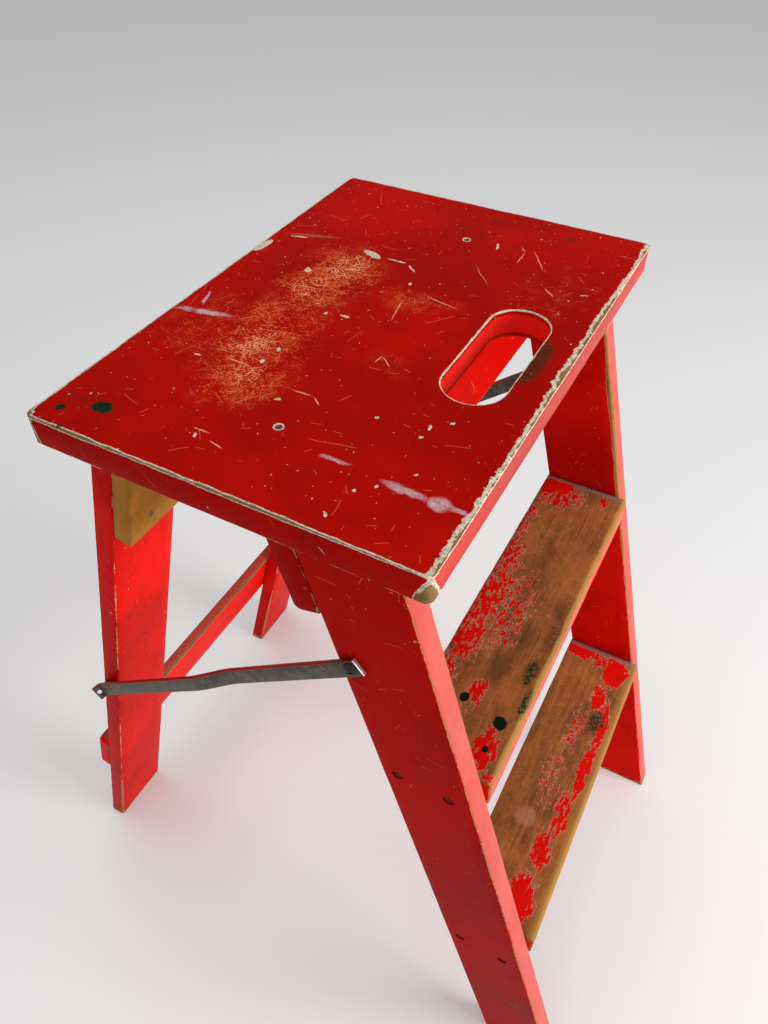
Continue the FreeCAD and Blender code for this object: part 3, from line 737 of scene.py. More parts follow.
def makeTread(node, own):
    name = pieceName(node)
    top, bottom = own["top"], own["top"] - tread["thick"]
    rearTop = rearLine(top)
    nose = rearLine(bottom) + stringer["size"][0] / math.cos(rake)
    size = (nose - rearTop, 2 * tread["half"], tread["thick"])
    board = makeBoard(((rearTop + nose) / 2, 0, (top + bottom) / 2), (0, 0, 0), size)
    half = board["half"]
    piece = sawBlank(name, board["size"])
    sawOff(piece, board, (rearTop, 0, top), (-math.cos(rake), 0, -math.sin(rake)))
    bevelEdges(piece, tread["nose"], 5,
               lambda a, b: min(a.x, b.x) > half[0] - onFace and min(a.z, b.z) > half[2] - onFace)
    roundArrises(piece, tread["arris"])
    wearDown(piece, half, tread)
    setInPlace(piece, board)

    def bareTop(at):
        # the top and the nosing are bare except for flakes of paint, which follow the grain
        spots = [(x, y, rx * 1.1, ry * 1.05, turn, much) for x, y, rx, ry, turn, much in own["paint"]]
        density = ovals(wobble(at["place"], 60.0, 0.012), spots)
        flakes = noise(vectorCalc("MULTIPLY", at["place"], (400, 130, 130)), 1.0, 5, 0.66)
        painted = plus(flakes, times(density, 0.4), -0.705)
        low = minus(split(at["local"])[2], half[2] - 0.0065)
        return smaller(times(painted, -8.0), ragged(at, times(low, 1000.0), 4.0, 2.0))

    def stains(at, colour, roughness):
        place, strip = at["place"], own["strip"]
        loose = wobble(place, 150.0, 0.004, 3.0)
        parts = split(at["local"])
        onTop = span(parts[2], half[2] - 0.006, half[2] - 0.003)
        cloud = noise(place, 30.0, 3, 0.6)
        speckle = noise(place, 380.0, 3, 0.75)
        tint = times(onTop, at["bare"])
        # darker and yellower patches, then thin red and green residue in the pores
        patches = noise(vectorCalc("MULTIPLY", place, (34, 13, 13)), 1.0, 4, 0.62)
        colour = tinted(colour, (0.095, 0.043, 0.016, 1), span(patches, 0.5, 0.7), tint, 0.6)
        colour = tinted(colour, (0.56, 0.21, 0.045, 1), span(patches, 0.46, 0.32), tint, 0.5)
        residue = times(span(cloud, 0.5, 0.66), span(speckle, 0.45, 0.62), tint)
        colour = tinted(colour, (0.55, 0.12, 0.07, 1), residue, 0.42)
        mossy = times(span(cloud, 0.48, 0.36), span(speckle, 0.42, 0.6), tint)
        colour = tinted(colour, (0.14, 0.095, 0.024, 1), mossy, 0.5)
        # the nosing is rubbed to clean wood
        rubbed = span(plus(parts[0], swing(at["nicks"], 0.004)), half[0] - strip, half[0] - strip * 0.7)
        colour = tinted(colour, (0.42, 0.235, 0.06, 1), times(rubbed, onTop, at["bare"]), 0.6)
        mossy = times(ovals(loose, own["splashes"]), span(cloud, 0.3, 0.6, 0.4, 1.0), tint)
        colour = tinted(colour, (0.06, 0.056, 0.018, 1), mossy, 0.55)
        splash = span(plus(speckle, times(ovals(loose, own["splashes"]), 0.24)), 0.66, 0.76)
        splash = times(splash, span(ovals(loose, own["splashes"]), 0.0, 0.1))
        colour = tinted(colour, (0.026, 0.044, 0.016, 1), splash, onTop)
        for x, y, rx, ry in own["drops"]:
            dot = times(oval(loose, (x, y), (rx, ry), 0.0, 0.8), onTop)
            colour = tinted(colour, (0.006, 0.018, 0.01, 1), dot)
            roughness = blendValue(dot, roughness, 0.22)
        if own["pale"]:
            ring = times(ovals(loose, own["pale"], 0.5), onTop)
            colour = tinted(colour, (0.66, 0.33, 0.19, 1), ring, 0.4)
        # grey dust near one end of the top, and a dark band along the top at both ends, against the stringers
        grey = span(plus(parts[1], swing(at["nicks"], 0.006)), half[1] - 0.0075, half[1] - 0.0055)
        colour = tinted(colour, (0.3, 0.24, 0.2, 1), grey, onTop, 0.7)
        ends = span(absolute(parts[1]), half[1] - 0.0035, half[1])
        ends = times(ends, span(parts[0], half[0] - 0.007, half[0] - 0.012))
        colour = tinted(colour, (0.04, 0.022, 0.014, 1), ends, 0.75)
        # the front face gets faded paint and a painted sheen
        return fadedFrontAndSheen(at, colour, half, tread["faded"]), roughness

    look = dict(tread["look"], seed=own["seed"])
    material = enamel(name + "Enamel", board, look, grainAxis=1, extraWear=bareTop, overlays=stains)
    dress(piece, node, material)


makeTread("upper_tread", upperTread)
makeTread("lower_tread", lowerTread)

topRail = {
    "thick": 0.0185,
    "bottom": 0.5745,
    "half": 0.1729,
    "height": 0.074,
    "arris": 0.0014,
    "corner": 0.006,
    "scored": ((1, 0.007), (2, 0.011)),
    "dent": 0.0005,
    "wave": 0.0002,
    "look": {"seed": 11.3, "edge": 1.5, "rim": 0.35, "scratches": 0.03,
             "undercoat": (0.55, 0.33, 0.15, 1), "dirtyUndercoat": (0.36, 0.2, 0.08, 1)},
}


def makeTopRail():
    foot = Vector((rearLine(topRail["bottom"]), 0, topRail["bottom"]))
    up, back = Vector((-math.sin(rake), 0, math.cos(rake))), Vector((-math.cos(rake), 0, -math.sin(rake)))
    centre = foot + up * topRail["height"] / 2 + back * topRail["thick"] / 2
    board = makeBoard(centre, (0, -rake, 0), (topRail["thick"], 2 * topRail["half"], topRail["height"]))
    half = board["half"]
    piece = sawBlank("frontTopRail", board["size"])
    bevelEdges(piece, topRail["corner"], 5,
               lambda a, b: max(a.x, b.x) < onFace - half[0] and max(a.z, b.z) < onFace - half[2])
    sawOff(piece, board, (0, 0, boardTop), (0, 0, 1))
    roundArrises(piece, topRail["arris"])
    wearDown(piece, half, topRail)
    setInPlace(piece, board)

    def joint(at):
        # the front arris at each end, along the stringer, has lost its paint
        parts = split(at["local"])
        reach = ragged(at, span(at["drift"], 0.4, 0.62, 0.4, 3.2), 3.2, 2.0)
        return wearPast(reach, minus(half[0], parts[0]), minus(half[1], absolute(parts[1])))

    material = enamel("frontTopRailEnamel", board, topRail["look"], grainAxis=1, extraWear=joint)
    dress(piece, "front_top_rail", material)


makeTopRail()

# Rear frame

leg = {
    "size": (0.0167, 0.065, 0.682),
    "arris": 0.0016,
    "scored": ((2, 0.007), (1, 0.011)),
    "dent": 0.0005,
    "wave": 0.0002,
    "footHalf": 0.1783,
    "topHalf": 0.1696,
    # painted light: the legs' red is partly the lighter copy, standing in for the light on their front faces
    "look": {"edge": 1.0, "rim": 0.35, "scratches": 0.035, "reds": ("red", "brightRed"),
             "undercoat": (0.8, 0.46, 0.28, 1), "dirtyUndercoat": (0.48, 0.24, 0.11, 1)},
}


def makeLeg(node, side, seed):
    name = pieceName(node)
    z = boardTop / 2
    outer = (leg["footHalf"] + leg["topHalf"]) / 2
    x = legFront(z) - leg["size"][0] / math.cos(rake) / 2
    board = makeBoard((x, side * (outer - leg["size"][1] / 2), z), (side * splay, rake, 0), leg["size"])
    half = board["half"]
    piece = sawBlank(name, board["size"])
    trimEnds(piece, board)
    roundArrises(piece, leg["arris"])
    wearDown(piece, half, leg)
    setInPlace(piece, board)

    def lowEdges(at):
        # the arrises are worn more towards the foot
        parts = split(at["local"])
        reach = ragged(at, times(span(parts[2], -0.12, -0.3), 2.1), 2.4, 1.6)
        return larger(wearPast(reach, minus(half[0], parts[0]), minus(half[1], absolute(parts[1]))), footWear(at, 5.0))

    look = dict(leg["look"], seed=seed)
    dress(piece, node, enamel(name + "Enamel", board, look, extraWear=lowEdges))


makeLeg("right_rear_leg", -1, 13.9)
makeLeg("left_rear_leg", 1, 17.2)

rearUp = Vector((math.sin(rake), 0, math.cos(rake)))
rearForward = Vector((math.cos(rake), 0, -math.sin(rake)))

rearTopRail = {
    "size": (0.0145, 0.3414, 0.08626),
    "bottom": 0.556,
    "arris": 0.0011,
    "scored": ((1, 0.007), (2, 0.011)),
    "dent": 0.0004,
    "wave": 0.0002,
    "woodLight": (0.68, 0.31, 0.032, 1),
    "woodDark": (0.42, 0.165, 0.014, 1),
    "nails": [(-0.151, 0.573), (0.151, 0.573), (-0.151, 0.612), (0.151, 0.612)],
}


def bareRailWood(board):
    # unpainted rail, yellow brown, with dirty arrises and dark marks round the nails
    material, place, local = startMaterial("bareRailWood", board)
    half, parts = board["half"], split(local)
    along = join(parts[1], parts[0], parts[2])
    values = {"Light": rearTopRail["woodLight"], "Dark": rearTopRail["woodDark"], "Streaks": 0.3, "Seed": 2.2}
    wood = useGroup(grainGroup, {"Point": along, **values})
    distance = useGroup(arrisGroup, {"Point": local, "Half": half})["Distance"]
    cloud = noise(place, 60.0, 4, 0.65)
    dirt = times(span(distance, 5.0, 0.0), span(cloud, 0.35, 0.65))
    colour = tinted(wood["Colour"], (0.13, 0.05, 0.012, 1), dirt, 0.5)
    flecks = useGroup(fleckGroup, {"Point": faceMap(local, half), "Amount": 0.08, "Size": 0.0016})["Mask"]
    colour = tinted(colour, (0.12, 0.05, 0.014, 1), flecks, 0.55)
    endGrain = span(absolute(parts[1]), half[1] - 0.001, half[1] - 0.0004)
    colour = tinted(colour, (0.26, 0.1, 0.016, 1), endGrain, 0.4)
    loose = wobble(join(parts[1], parts[2], 0.0), 240.0, 0.004)
    stains = []
    for y, z in rearTopRail["nails"]:
        up = (z - rearTopRail["bottom"]) / math.cos(rake) - half[2]
        stains.append((y, up, 0.003, 0.0048, 0.2, 1.0))
    front = span(parts[0], half[0] - 0.002, half[0] - 0.001)
    colour = tinted(colour, (0.09, 0.085, 0.085, 1), ovals(loose, stains, 0.5), front, 0.75)
    finishMaterial(colour, span(cloud, 0.3, 0.7, 0.44, 0.6), wood["Height"], specular=0.05)
    return material


def makeRearTopRail():
    base = Vector((legFront(rearTopRail["bottom"]), 0, rearTopRail["bottom"]))
    centre = base + rearUp * rearTopRail["size"][2] / 2 + rearForward * rearTopRail["size"][0] / 2
    board = makeBoard(centre, (0, rake, 0), rearTopRail["size"])
    piece = sawBlank("rearTopRail", board["size"])
    roundArrises(piece, rearTopRail["arris"])
    wearDown(piece, board["half"], rearTopRail)
    setInPlace(piece, board)
    dress(piece, "rear_top_rail", bareRailWood(board))


rearLowRail = {
    "size": (0.012, 0.352, 0.06635),
    "bottom": 0.132,
    "arris": 0.0016,
    "corner": 0.006,
    "scored": ((1, 0.006), (2, 0.011)),
    "dent": 0.0006,
    "wave": 0.0003,
    # painted light: the low rail's red is the lighter copy, standing in for stronger light
    "look": {"seed": 21.4, "edge": 1.9, "rim": 0.3, "flecks": 0.06, "reds": ("brightRed", "brightRed"),
             "undercoat": (0.66, 0.3, 0.16, 1), "dirtyUndercoat": (0.46, 0.2, 0.1, 1),
             "woodLight": (0.5, 0.24, 0.09, 1), "woodDark": (0.2, 0.09, 0.035, 1)},
}


def makeRearLowRail():
    base = Vector((legFront(rearLowRail["bottom"]) - leg["size"][0] / math.cos(rake), 0, rearLowRail["bottom"]))
    centre = base + rearUp * rearLowRail["size"][2] / 2 - rearForward * rearLowRail["size"][0] / 2
    board = makeBoard(centre, (0, rake, 0), rearLowRail["size"])
    half = board["half"]
    piece = sawBlank("rearLowRail", board["size"])
    bevelEdges(piece, rearLowRail["corner"], 6,
               lambda a, b: abs(a.x - b.x) > longEdge and min(abs(a.y), abs(b.y)) > half[1] - onFace)
    roundArrises(piece, rearLowRail["arris"])
    wearDown(piece, half, rearLowRail)
    setInPlace(piece, board)

    def topEdge(at):
        # the upper front arris is rubbed through to the wood
        parts = split(at["local"])
        reach = ragged(at, span(at["drift"], 0.38, 0.6, 1.2, 3.4), 3.0, 2.2)
        return wearPast(reach, minus(half[2], parts[2]), minus(half[0], parts[0]))

    def dustyTop(at, colour, roughness):
        # years of dust on the upper edge
        dust = span(plus(split(at["local"])[2], swing(at["nicks"], 0.0012)), half[2] - 0.0012, half[2] - 0.0004)
        return tinted(colour, (0.15, 0.08, 0.05, 1), dust, 0.6), roughness

    material = enamel("rearLowRailEnamel", board, rearLowRail["look"], grainAxis=1,
                      extraWear=topEdge, overlays=dustyTop)
    dress(piece, "rear_low_rail", material)


makeRearTopRail()
makeRearLowRail()


# Seat

seat = {
    "size": (0.257, 0.37, 0.0205),
    "centre": (-0.0018, 0, 0.64975),
    "corner": 0.005,
    "arris": 0.0026,
    "slotMiddle": (0.084, -0.0025),    # from the board's centre
    "slotRadius": 0.02,
    "slotReach": 0.035,
    "boltsLetIn": 0.0007,              # deeper than in the CAD
    "scored": ((1, 0.0045), (0, 0.0045)),
    "dent": 0.0004,
    "wave": 0.0002,
    "wearSizes": (0.03, 0.15),
    "look": {"seed": 0.0, "edge": 2.15, "least": 0.75, "nicks": 2.0, "teeth": 0.8, "rim": 0.85,
             "flecks": 0.11, "scratches": 0.06, "fleckSize": 0.0009,
             "undercoat": enamelColours["cream"], "dirtyUndercoat": enamelColours["greyCream"],
             "woodLight": (0.36, 0.215, 0.082, 1), "woodDark": (0.14, 0.088, 0.036, 1)},
    # how much the front face is faded and given a painted sheen
    "faded": 0.3,
    # how much less the far side's and the bottom's arrises are worn, in metres
    "spared": {"farSides": 0.0003, "bottom": 0.0012},
}

# marks on the seat, in metres from its centre: x and y of the middle, the radii, the turn, and how much
seatMarks = {
    "scuffed": [
        (-0.054, 0.026, 0.04, 0.066, 0, 1), (-0.055, -0.052, 0.042, 0.07, 0, 1),
        (-0.04, -0.098, 0.036, 0.04, 0.3, 0.9), (-0.1, -0.06, 0.03, 0.05, 0, 0.45),
        (0.006, 0.028, 0.026, 0.02, 0, 0.55), (0.028, 0.032, 0.022, 0.012, 0, 0.5),
        (0.086, 0.075, 0.03, 0.045, 0, 0.25), (0.03, -0.045, 0.02, 0.02, 0, 0.25),
    ],
    "hot": [
        (-0.056, -0.062, 0.016, 0.026, 0.2, 1), (-0.051, 0.048, 0.018, 0.026, 0, 0.95),
        (-0.062, 0.01, 0.016, 0.024, 0, 0.65), (-0.04, -0.092, 0.012, 0.014, 0, 0.7),
    ],
    "chips": [
        (-0.124, 0.047, 0.004, 0.013, -0.1, 1), (-0.108, 0.071, 0.009, 0.0016, 0.3, 0.75),
        (-0.075, 0.031, 0.003, 0.005, 0.5, 1), (-0.046, 0.0725, 0.004, 0.011, 1.2, 1),
        (-0.026, 0.0722, 0.01, 0.0011, 0, 0.8), (-0.011, 0.067, 0.0072, 0.0011, -0.68, 0.7),
        (-0.034, -0.0125, 0.0017, 0.0022, 0, 1), (-0.021, -0.01, 0.0044, 0.0013, 0, 0.9),
        (-0.0375, -0.0626, 0.002, 0.0029, 0.5, 0.95), (-0.0391, -0.0776, 0.0022, 0.0028, 0, 0.8),
        (-0.0094, -0.105, 0.0024, 0.0013, 0.2, 0.9), (0.079, -0.087, 0.0014, 0.0034, 0.3, 0.9),
        (0.0888, -0.0782, 0.0022, 0.001, 0.6, 0.9), (0.0783, -0.0967, 0.0018, 0.0015, 0.4, 0.85),
        (-0.0314, -0.1538, 0.0016, 0.0022, 0.2, 0.75), (0.0761, -0.1423, 0.0016, 0.0014, 0, 0.9),
        (0.0634, -0.1722, 0.0012, 0.003, 0.7, 0.9), (0.0675, -0.1508, 0.0018, 0.0018, 0, 0.7),
        (0.0296, 0.1268, 0.0012, 0.0068, 0.3, 0.85), (0.1085, 0.0891, 0.0038, 0.0009, 0.5, 0.9),
        (-0.0023, 0.0478, 0.0017, 0.0026, 0.6, 1), (-0.0784, -0.0908, 0.0038, 0.0012, 0, 0.8),
        (0.049, -0.093, 0.0018, 0.0018, 0, 0.6), (0.09, -0.125, 0.0014, 0.0012, 0, 0.6),
    ],
    # long thin scratches: x and y of both ends, and how much
    "scores": [
        (-0.0616, -0.0849, -0.0425, -0.0855, 0.9), (-0.0425, -0.0855, -0.0368, -0.0895, 0.8),
        (-0.0063, -0.0935, 0.0071, -0.094, 0.8), (0.0071, -0.094, 0.0147, -0.0996, 0.7),
        (0.0083, -0.0029, 0.0031, 0.028, 0.7), (0.0114, 0.0399, 0.0421, 0.0316, 0.7),
        (0.0217, -0.0469, 0.0227, -0.0383, 0.7), (0.0227, -0.0383, 0.0322, -0.0473, 0.7),
        (0.0519, 0.1097, 0.0507, 0.1278, 0.85), (0.0507, 0.1278, 0.0461, 0.1341, 0.7),
        (0.0555, 0.1334, 0.0734, 0.1064, 0.7), (0.0808, 0.0868, 0.0904, 0.0769, 0.8),
        (0.0256, 0.0951, 0.0467, 0.0695, 0.4), (-0.0215, -0.1534, -0.0112, -0.1564, 0.9),
        (-0.0362, -0.1486, -0.024, -0.1483, 0.9), (0.076, 0.03, 0.102, 0.02, 0.6), (0.088, 0.04, 0.1, 0.012, 0.6),
    ],
    "smears": [
        (-0.106, -0.049, 0.024, 0.0036, 0.2, 0.75), (-0.115, -0.034, 0.01, 0.0015, 1.9, 0.85),
        (0.09, -0.1385, 0.016, 0.0033, -0.03, 0.65), (0.11, -0.1392, 0.008, 0.006, 0, 1),
        (0.119, -0.139, 0.012, 0.0018, 0, 0.6), (0.0465, -0.135, 0.011, 0.0019, 0.03, 0.62),
    ],
    "green": [
        (-0.1146, -0.1699, 0.0034, 0.0034, 0, 1), (-0.093, -0.159, 0.0085, 0.006, 0, 1),
        (-0.1025, -0.1832, 0.0026, 0.0022, 0, 0.8),
    ],
    "brown": [(0.108, 0, 0.01, 0.034, 0, 1), (0.0745, 0.162, 0.008, 0.005, 0, 0.55)],
    "dull": [(-0.1, 0.077, 0.024, 0.003, 0.3, 0.5)],
    "bolts": [(0.005, -0.126), (0.005, 0.126)],
    # each upright corner: front or back, left or right, and how far bare wood reaches
    # round it at the top and at the bottom, in millimetres
    "corners": [(1, -1, 2.4, 11), (-1, -1, 5, 7), (1, 1, 3, 4.5), (-1, 1, 2.2, 2)],
    "boltRing": 3.4,
}


def slotGap(x, y):
    # distance from the slot's rim
    past = max(0.0, abs(y - seat["slotMiddle"][1]) - seat["slotReach"])
    return abs(math.hypot(x - seat["slotMiddle"][0], past) - seat["slotRadius"])


def seatDistance(local):
    # millimetres from the seat's arrises; its outline has round corners, and the slot has a rim of its own
    half = [s / 2 for s in seat["size"]]
    size = split(vectorCalc("ABSOLUTE", local))
    pastX, pastY = [minus(size[axis], half[axis] - seat["corner"]) for axis in (0, 1)]
    outside = vectorLength(join(larger(pastX, 0.0), larger(pastY, 0.0), 0.0))
    inside = smaller(larger(pastX, pastY), 0.0)
    side = minus(seat["corner"], plus(outside, inside))
    parts = split(local)
    far = span(parts[1], 0.008 - half[1], 0.012 - half[1])
    side = plus(side, times(far, seat["spared"]["farSides"]))
    level = plus(minus(half[2], size[2]), times(span(parts[2], 0.001, -0.001), seat["spared"]["bottom"]))
    across = minus(parts[0], seat["slotMiddle"][0])
    past = larger(plus(absolute(plus(parts[1], -seat["slotMiddle"][1])), -seat["slotReach"]), 0.0)
    rim = absolute(plus(vectorLength(join(across, past, 0.0)), -seat["slotRadius"]))
    rim = times(larger(rim, level), 1.4)
    return times(smaller(larger(side, level), rim), 1000.0)


def score2d(point, start, end, width):
    # 1 along a straight scratch from start to end
    length = math.hypot(end[0] - start[0], end[1] - start[1])
    turn = math.atan2(end[1] - start[1], end[0] - start[0])
    return oval(point, ((start[0] + end[0]) / 2, (start[1] + end[1]) / 2), (length / 2 + width, width), turn, 0.35)


def seatEnamel(board):
    half = board["half"]

    def worn(at):
        local = at["local"]
        parts = split(local)
        front, top = minus(half[0], parts[0]), minus(half[2], parts[2])
        # the front edge is worn widest, and more so on top than on its face
        reach = span(noise(local, 16.0, 3, 0.6), 0.36, 0.66, 2.4, 4.4)
        reach = plus(reach, times(oval(local, (half[0], 0.028), (0.05, 0.085)), 1.5))
        reach = plus(reach, swing(noise(local, 170.0, 4, 0.7), 7.0), swing(at["teeth"], 1.6))
        most = wearPast(reach, front, times(top, 2.0))
        for frontBack, leftRight, high, low in seatMarks["corners"]:
            gaps = minus(half[0], times(parts[0], frontBack)), minus(half[1], times(parts[1], leftRight))
            most = larger(most, wearPast(ragged(at, span(parts[2], half[2], -half[2], high, low), 5.0, 2.0), *gaps))
        flat = vectorCalc("MULTIPLY", local, (1, 1, 0))
        loose = wobble(flat, 330.0, 0.003, 3.0)
        onTop = span(parts[2], half[2] - 0.004, half[2] - 0.001)
        chips = times(ovals(loose, seatMarks["chips"], 0.2), onTop)
        most = larger(most, plus(times(chips, 1.8), -0.6))
        for x, y in seatMarks["bolts"]:
            ring = vectorLength(vectorCalc("SUBTRACT", flat, (x, y, 0)))
            ring = plus(seatMarks["boltRing"], swing(at["teeth"], 0.8), times(ring, -1000.0))
            most = larger(most, times(plus(ring, times(onTop, 5.0), -5.0), 0.85))
        return most

    def rimWidth(at):
        # the undercoat shows widest along the front
        parts = split(at["local"])
        front = span(parts[0], half[0] - 0.009, half[0] - 0.006)
        far = span(parts[1], 0.008 - half[1], 0.012 - half[1])
        far = times(far, span(parts[0], half[0] - 0.012, half[0] - 0.016))
        extra = times(front, plus(1.5, swing(at["nicks"], 2.6)))
        return plus(seat["look"]["rim"], extra, times(far, 0.9))

    def marks(at, colour, roughness):
        local = at["local"]
        level = vectorCalc("MULTIPLY", local, (1, 1, 0))
        onTop = span(split(local)[2], half[2] - 0.003, half[2] - 0.0005)
        painted = times(onTop, minus(1.0, at["bare"], clamp=True))
        loose = wobble(level, 200.0, 0.004, 3.0)
        cloud = noise(local, 60.0, 5, 0.68)
        grain = noise(local, 850.0, 2, 0.7)
        # the scuffed middle: a fuzz of short fine strokes through an orange bloom
        zone = times(ovals(wobble(level, 30.0, 0.03, 3.0), seatMarks["scuffed"]), painted)
        hot = times(ovals(wobble(level, 60.0, 0.016, 3.0), seatMarks["hot"]), painted)
        heat = larger(times(zone, span(cloud, 0.4, 0.68)), times(hot, span(cloud, 0.3, 0.6)))
        bloom = times(heat, span(grain, 0.32, 0.62, 0.35, 1.0), 0.55)
        colour = tinted(colour, (0.84, 0.1, 0.022, 1), bloom)
        amount = plus(times(zone, 0.4), times(heat, 0.55))
        fine = useGroup(scratchGroup, {"Point": level, "Amount": amount, "Finer": 1.7})["Mask"]
        moved = vectorCalc("ADD", level, (1.3, 2.1, 0))
        finer = useGroup(scratchGroup, {"Point": moved, "Amount": amount, "Finer": 2.9})["Mask"]
        strokes = times(larger(fine, times(finer, 0.8)), span(cloud, 0.34, 0.52, 0.25, 1.0))
        colour = tinted(colour, (0.95, 0.28, 0.1, 1), strokes, zone, 0.9)
        colour = tinted(colour, (0.97, 0.6, 0.34, 1), strokes, hot, 0.85)
        roughness = plus(roughness, times(bloom, 0.25))
        bent = wobble(level, 70.0, 0.0035)
        lines = 0.0
        for x1, y1, x2, y2, much in seatMarks["scores"]:
            lines = larger(times(score2d(bent, (x1, y1), (x2, y2), 0.0006), much), lines)
        lines = times(lines, painted, span(grain, 0.3, 0.48, 0.25, 1.0))
        colour = tinted(colour, (0.92, 0.46, 0.28, 1), lines)
        patch = plus(ovals(loose, seatMarks["brown"]), swing(cloud, 1.3))
        patch = times(span(patch, 0.25, 0.85), span(grain, 0.25, 0.55, 0.6, 1.0))
        colour = tinted(colour, (0.062, 0.026, 0.01, 1), patch, painted, 0.85)
        colour = tinted(colour, (0.4, 0.2, 0.1, 1), ovals(loose, seatMarks["dull"]), painted, 0.8)
        # painted light: the slot's walls are painted a lighter red, as if lit from the front
        deep = span(absolute(split(local)[2]), half[2] - 0.0025, half[2] - 0.0045)
        slotWallPaintedLight = times(oval(level, seat["slotMiddle"], (0.028, 0.066), 0.0, 0.98), deep)
        colour = tinted(colour, (0.95, 0.018, 0.012, 1), slotWallPaintedLight, 0.85)
        colour = tinted(colour, (0.01, 0.026, 0.013, 1), ovals(loose, seatMarks["green"], 0.6), onTop)
        smear = times(ovals(loose, seatMarks["smears"], 0.3), onTop, span(cloud, 0.32, 0.5, 0.3, 1.0))
        smear = times(smear, span(grain, 0.3, 0.6, 0.45, 1.0))
        colour = tinted(colour, (0.72, 0.58, 0.61, 1), smear)
        # the front face gets faded paint and a painted sheen
        return fadedFrontAndSheen(at, colour, half, seat["faded"]), roughness

    return enamel("seatEnamel", board, seat["look"], grainAxis=1, distance=seatDistance,
                  extraWear=worn, rimWidth=rimWidth, overlays=marks)


def makeSeat():
    board = makeBoard(seat["centre"], (0, 0, 0), seat["size"])
    piece = sawBlank("seatBoard", board["size"])
    bevelEdges(piece, seat["corner"], 6, lambda a, b: abs(a.z - b.z) > longEdge)
    deselectAll()
    bpy.ops.mesh.primitive_cylinder_add(vertices=64, radius=seat["slotRadius"], depth=0.06,
                                        rotation=(0, 0, math.pi / 64))
    cutter = bpy.context.object
    bpy.ops.object.transform_apply(location=False, rotation=True, scale=False)
    for vertex in cutter.data.vertices:
        vertex.co.y += seat["slotReach"] * (1 if vertex.co.y > 0 else -1)
    cutter.location = (seat["slotMiddle"][0], seat["slotMiddle"][1], 0)
    bpy.ops.object.transform_apply(location=True, rotation=False, scale=False)
    cutAway(piece, cutter)
    roundArrises(piece, seat["arris"], 4)
    wearDown(piece, board["half"], seat, slotGap)
    top = seat["centre"][2] + board["half"][2]
    holes = [((x + seat["centre"][0], y, top), (0, 0, -1), 0.0046, 0.0008) for x, y in seatMarks["bolts"]]
    sinkHoles(piece, board, holes)
    setInPlace(piece, board)
    dress(piece, "seat_board", seatEnamel(board))


makeSeat()


# Metal

steelColours = {
    "dark": (0.05, 0.044, 0.036, 1),
    "grey": (0.15, 0.13, 0.1, 1),
    "rust": (0.15, 0.045, 0.014, 1),
    "redPaint": (0.42, 0.006, 0.003, 1),
    "bright": (0.72, 0.7, 0.66, 1),
}
wholeFrame = {"centre": (0, 0, 0), "turn": (0, 0, 0)}


def oldSteel(name, seed, rust, grey="grey", board=wholeFrame, extra=None):
    # dull steel with rust in its pores; extra(local, colour, roughness) adds what one piece has
    material, place, local = startMaterial(name, board)
    moved = vectorCalc("ADD", place, (seed, seed * 0.6, seed * 0.2))
    cloud, pores = noise(moved, 120.0, 4, 0.65), noise(moved, 1100.0, 3, 0.65)
    colour = tinted(steelColours["dark"], steelColours[grey], span(plus(cloud, swing(pores, 0.35)), 0.36, 0.66))
    rusted = times(span(noise(moved, 190.0, 5, 0.72), 0.62 - rust * 0.3, 0.72 - rust * 0.25), 0.85)
    colour = tinted(colour, steelColours["rust"], rusted, span(pores, 0.3, 0.6, 0.5, 1.0))
    roughness = plus(span(cloud, 0.3, 0.7, 0.4, 0.58), times(rusted, 0.25))
    if extra:
        colour, roughness = extra(local, colour, roughness)
    height = plus(times(pores, 0.03), times(rusted, 0.03))
    finishMaterial(colour, roughness, height, metallic=span(rusted, 0.0, 1.0, 0.75, 0.1))
    return material


def copyNode(node, soften):
    # the CAD piece again, with its triangles merged and its edges softened
    piece = bpy.data.objects.new(pieceName(node), frame["nodes"][node].data.copy())
    bpy.context.scene.collection.objects.link(piece)
    useOnly(piece)
    bpy.ops.mesh.customdata_custom_splitnormals_clear()
    bpy.ops.object.mode_set(mode="EDIT")
    bpy.ops.mesh.select_all(action="SELECT")
    bpy.ops.mesh.remove_doubles(threshold=0.000002)
    bpy.ops.mesh.dissolve_limited(angle_limit=math.radians(1))
    bpy.ops.object.mode_set(mode="OBJECT")
    roundArrises(piece, soften, 2, 32)
    return piece


def turned(name, profile, corners=24):
    # a round piece about Z, from (radius, height) pairs
    deselectAll()
    radius, height = profile[0]
    bpy.ops.mesh.primitive_circle_add(vertices=corners, radius=radius, fill_type="NGON", location=(0, 0, 0))
    piece = bpy.context.object
    piece.name = name
    bpy.ops.object.mode_set(mode="EDIT")
    bpy.ops.mesh.select_mode(type="FACE")
    bpy.ops.mesh.select_all(action="SELECT")
    bpy.ops.transform.translate(value=(0, 0, height))
    for nextRadius, nextHeight in profile[1:]:
        bpy.ops.mesh.extrude_region_move(TRANSFORM_OT_translate={"value": (0, 0, nextHeight - height)})
        grow = nextRadius / radius
        bpy.ops.transform.resize(value=(grow, grow, 1), center_override=(0, 0, nextHeight))
        radius, height = nextRadius, nextHeight
    bpy.ops.mesh.select_all(action="SELECT")
    bpy.ops.mesh.normals_make_consistent(inside=False)
    bpy.ops.object.mode_set(mode="OBJECT")
    return piece


def cutSlot(piece, head, slotWidth, slotDepth, top):
    deselectAll()
    bpy.ops.mesh.primitive_cube_add(size=1, location=(0, 0, top), scale=(head * 1.3, slotWidth, slotDepth * 2))
    cutAway(piece, bpy.context.object)


def sunkProfile(look):
    # a countersunk head over a pointed shank, with its top at height 0
    head, shank, long = look["head"] / 2, look["shank"] / 2, look["long"]
    taper = head - shank
    point = [(0.0003, -long), (shank * 0.8, 0.004 - long), (shank, 0.01 - long)]
    return point + [(shank, -taper - 0.0003), (head, -0.0003), (head - 0.0002, 0)]


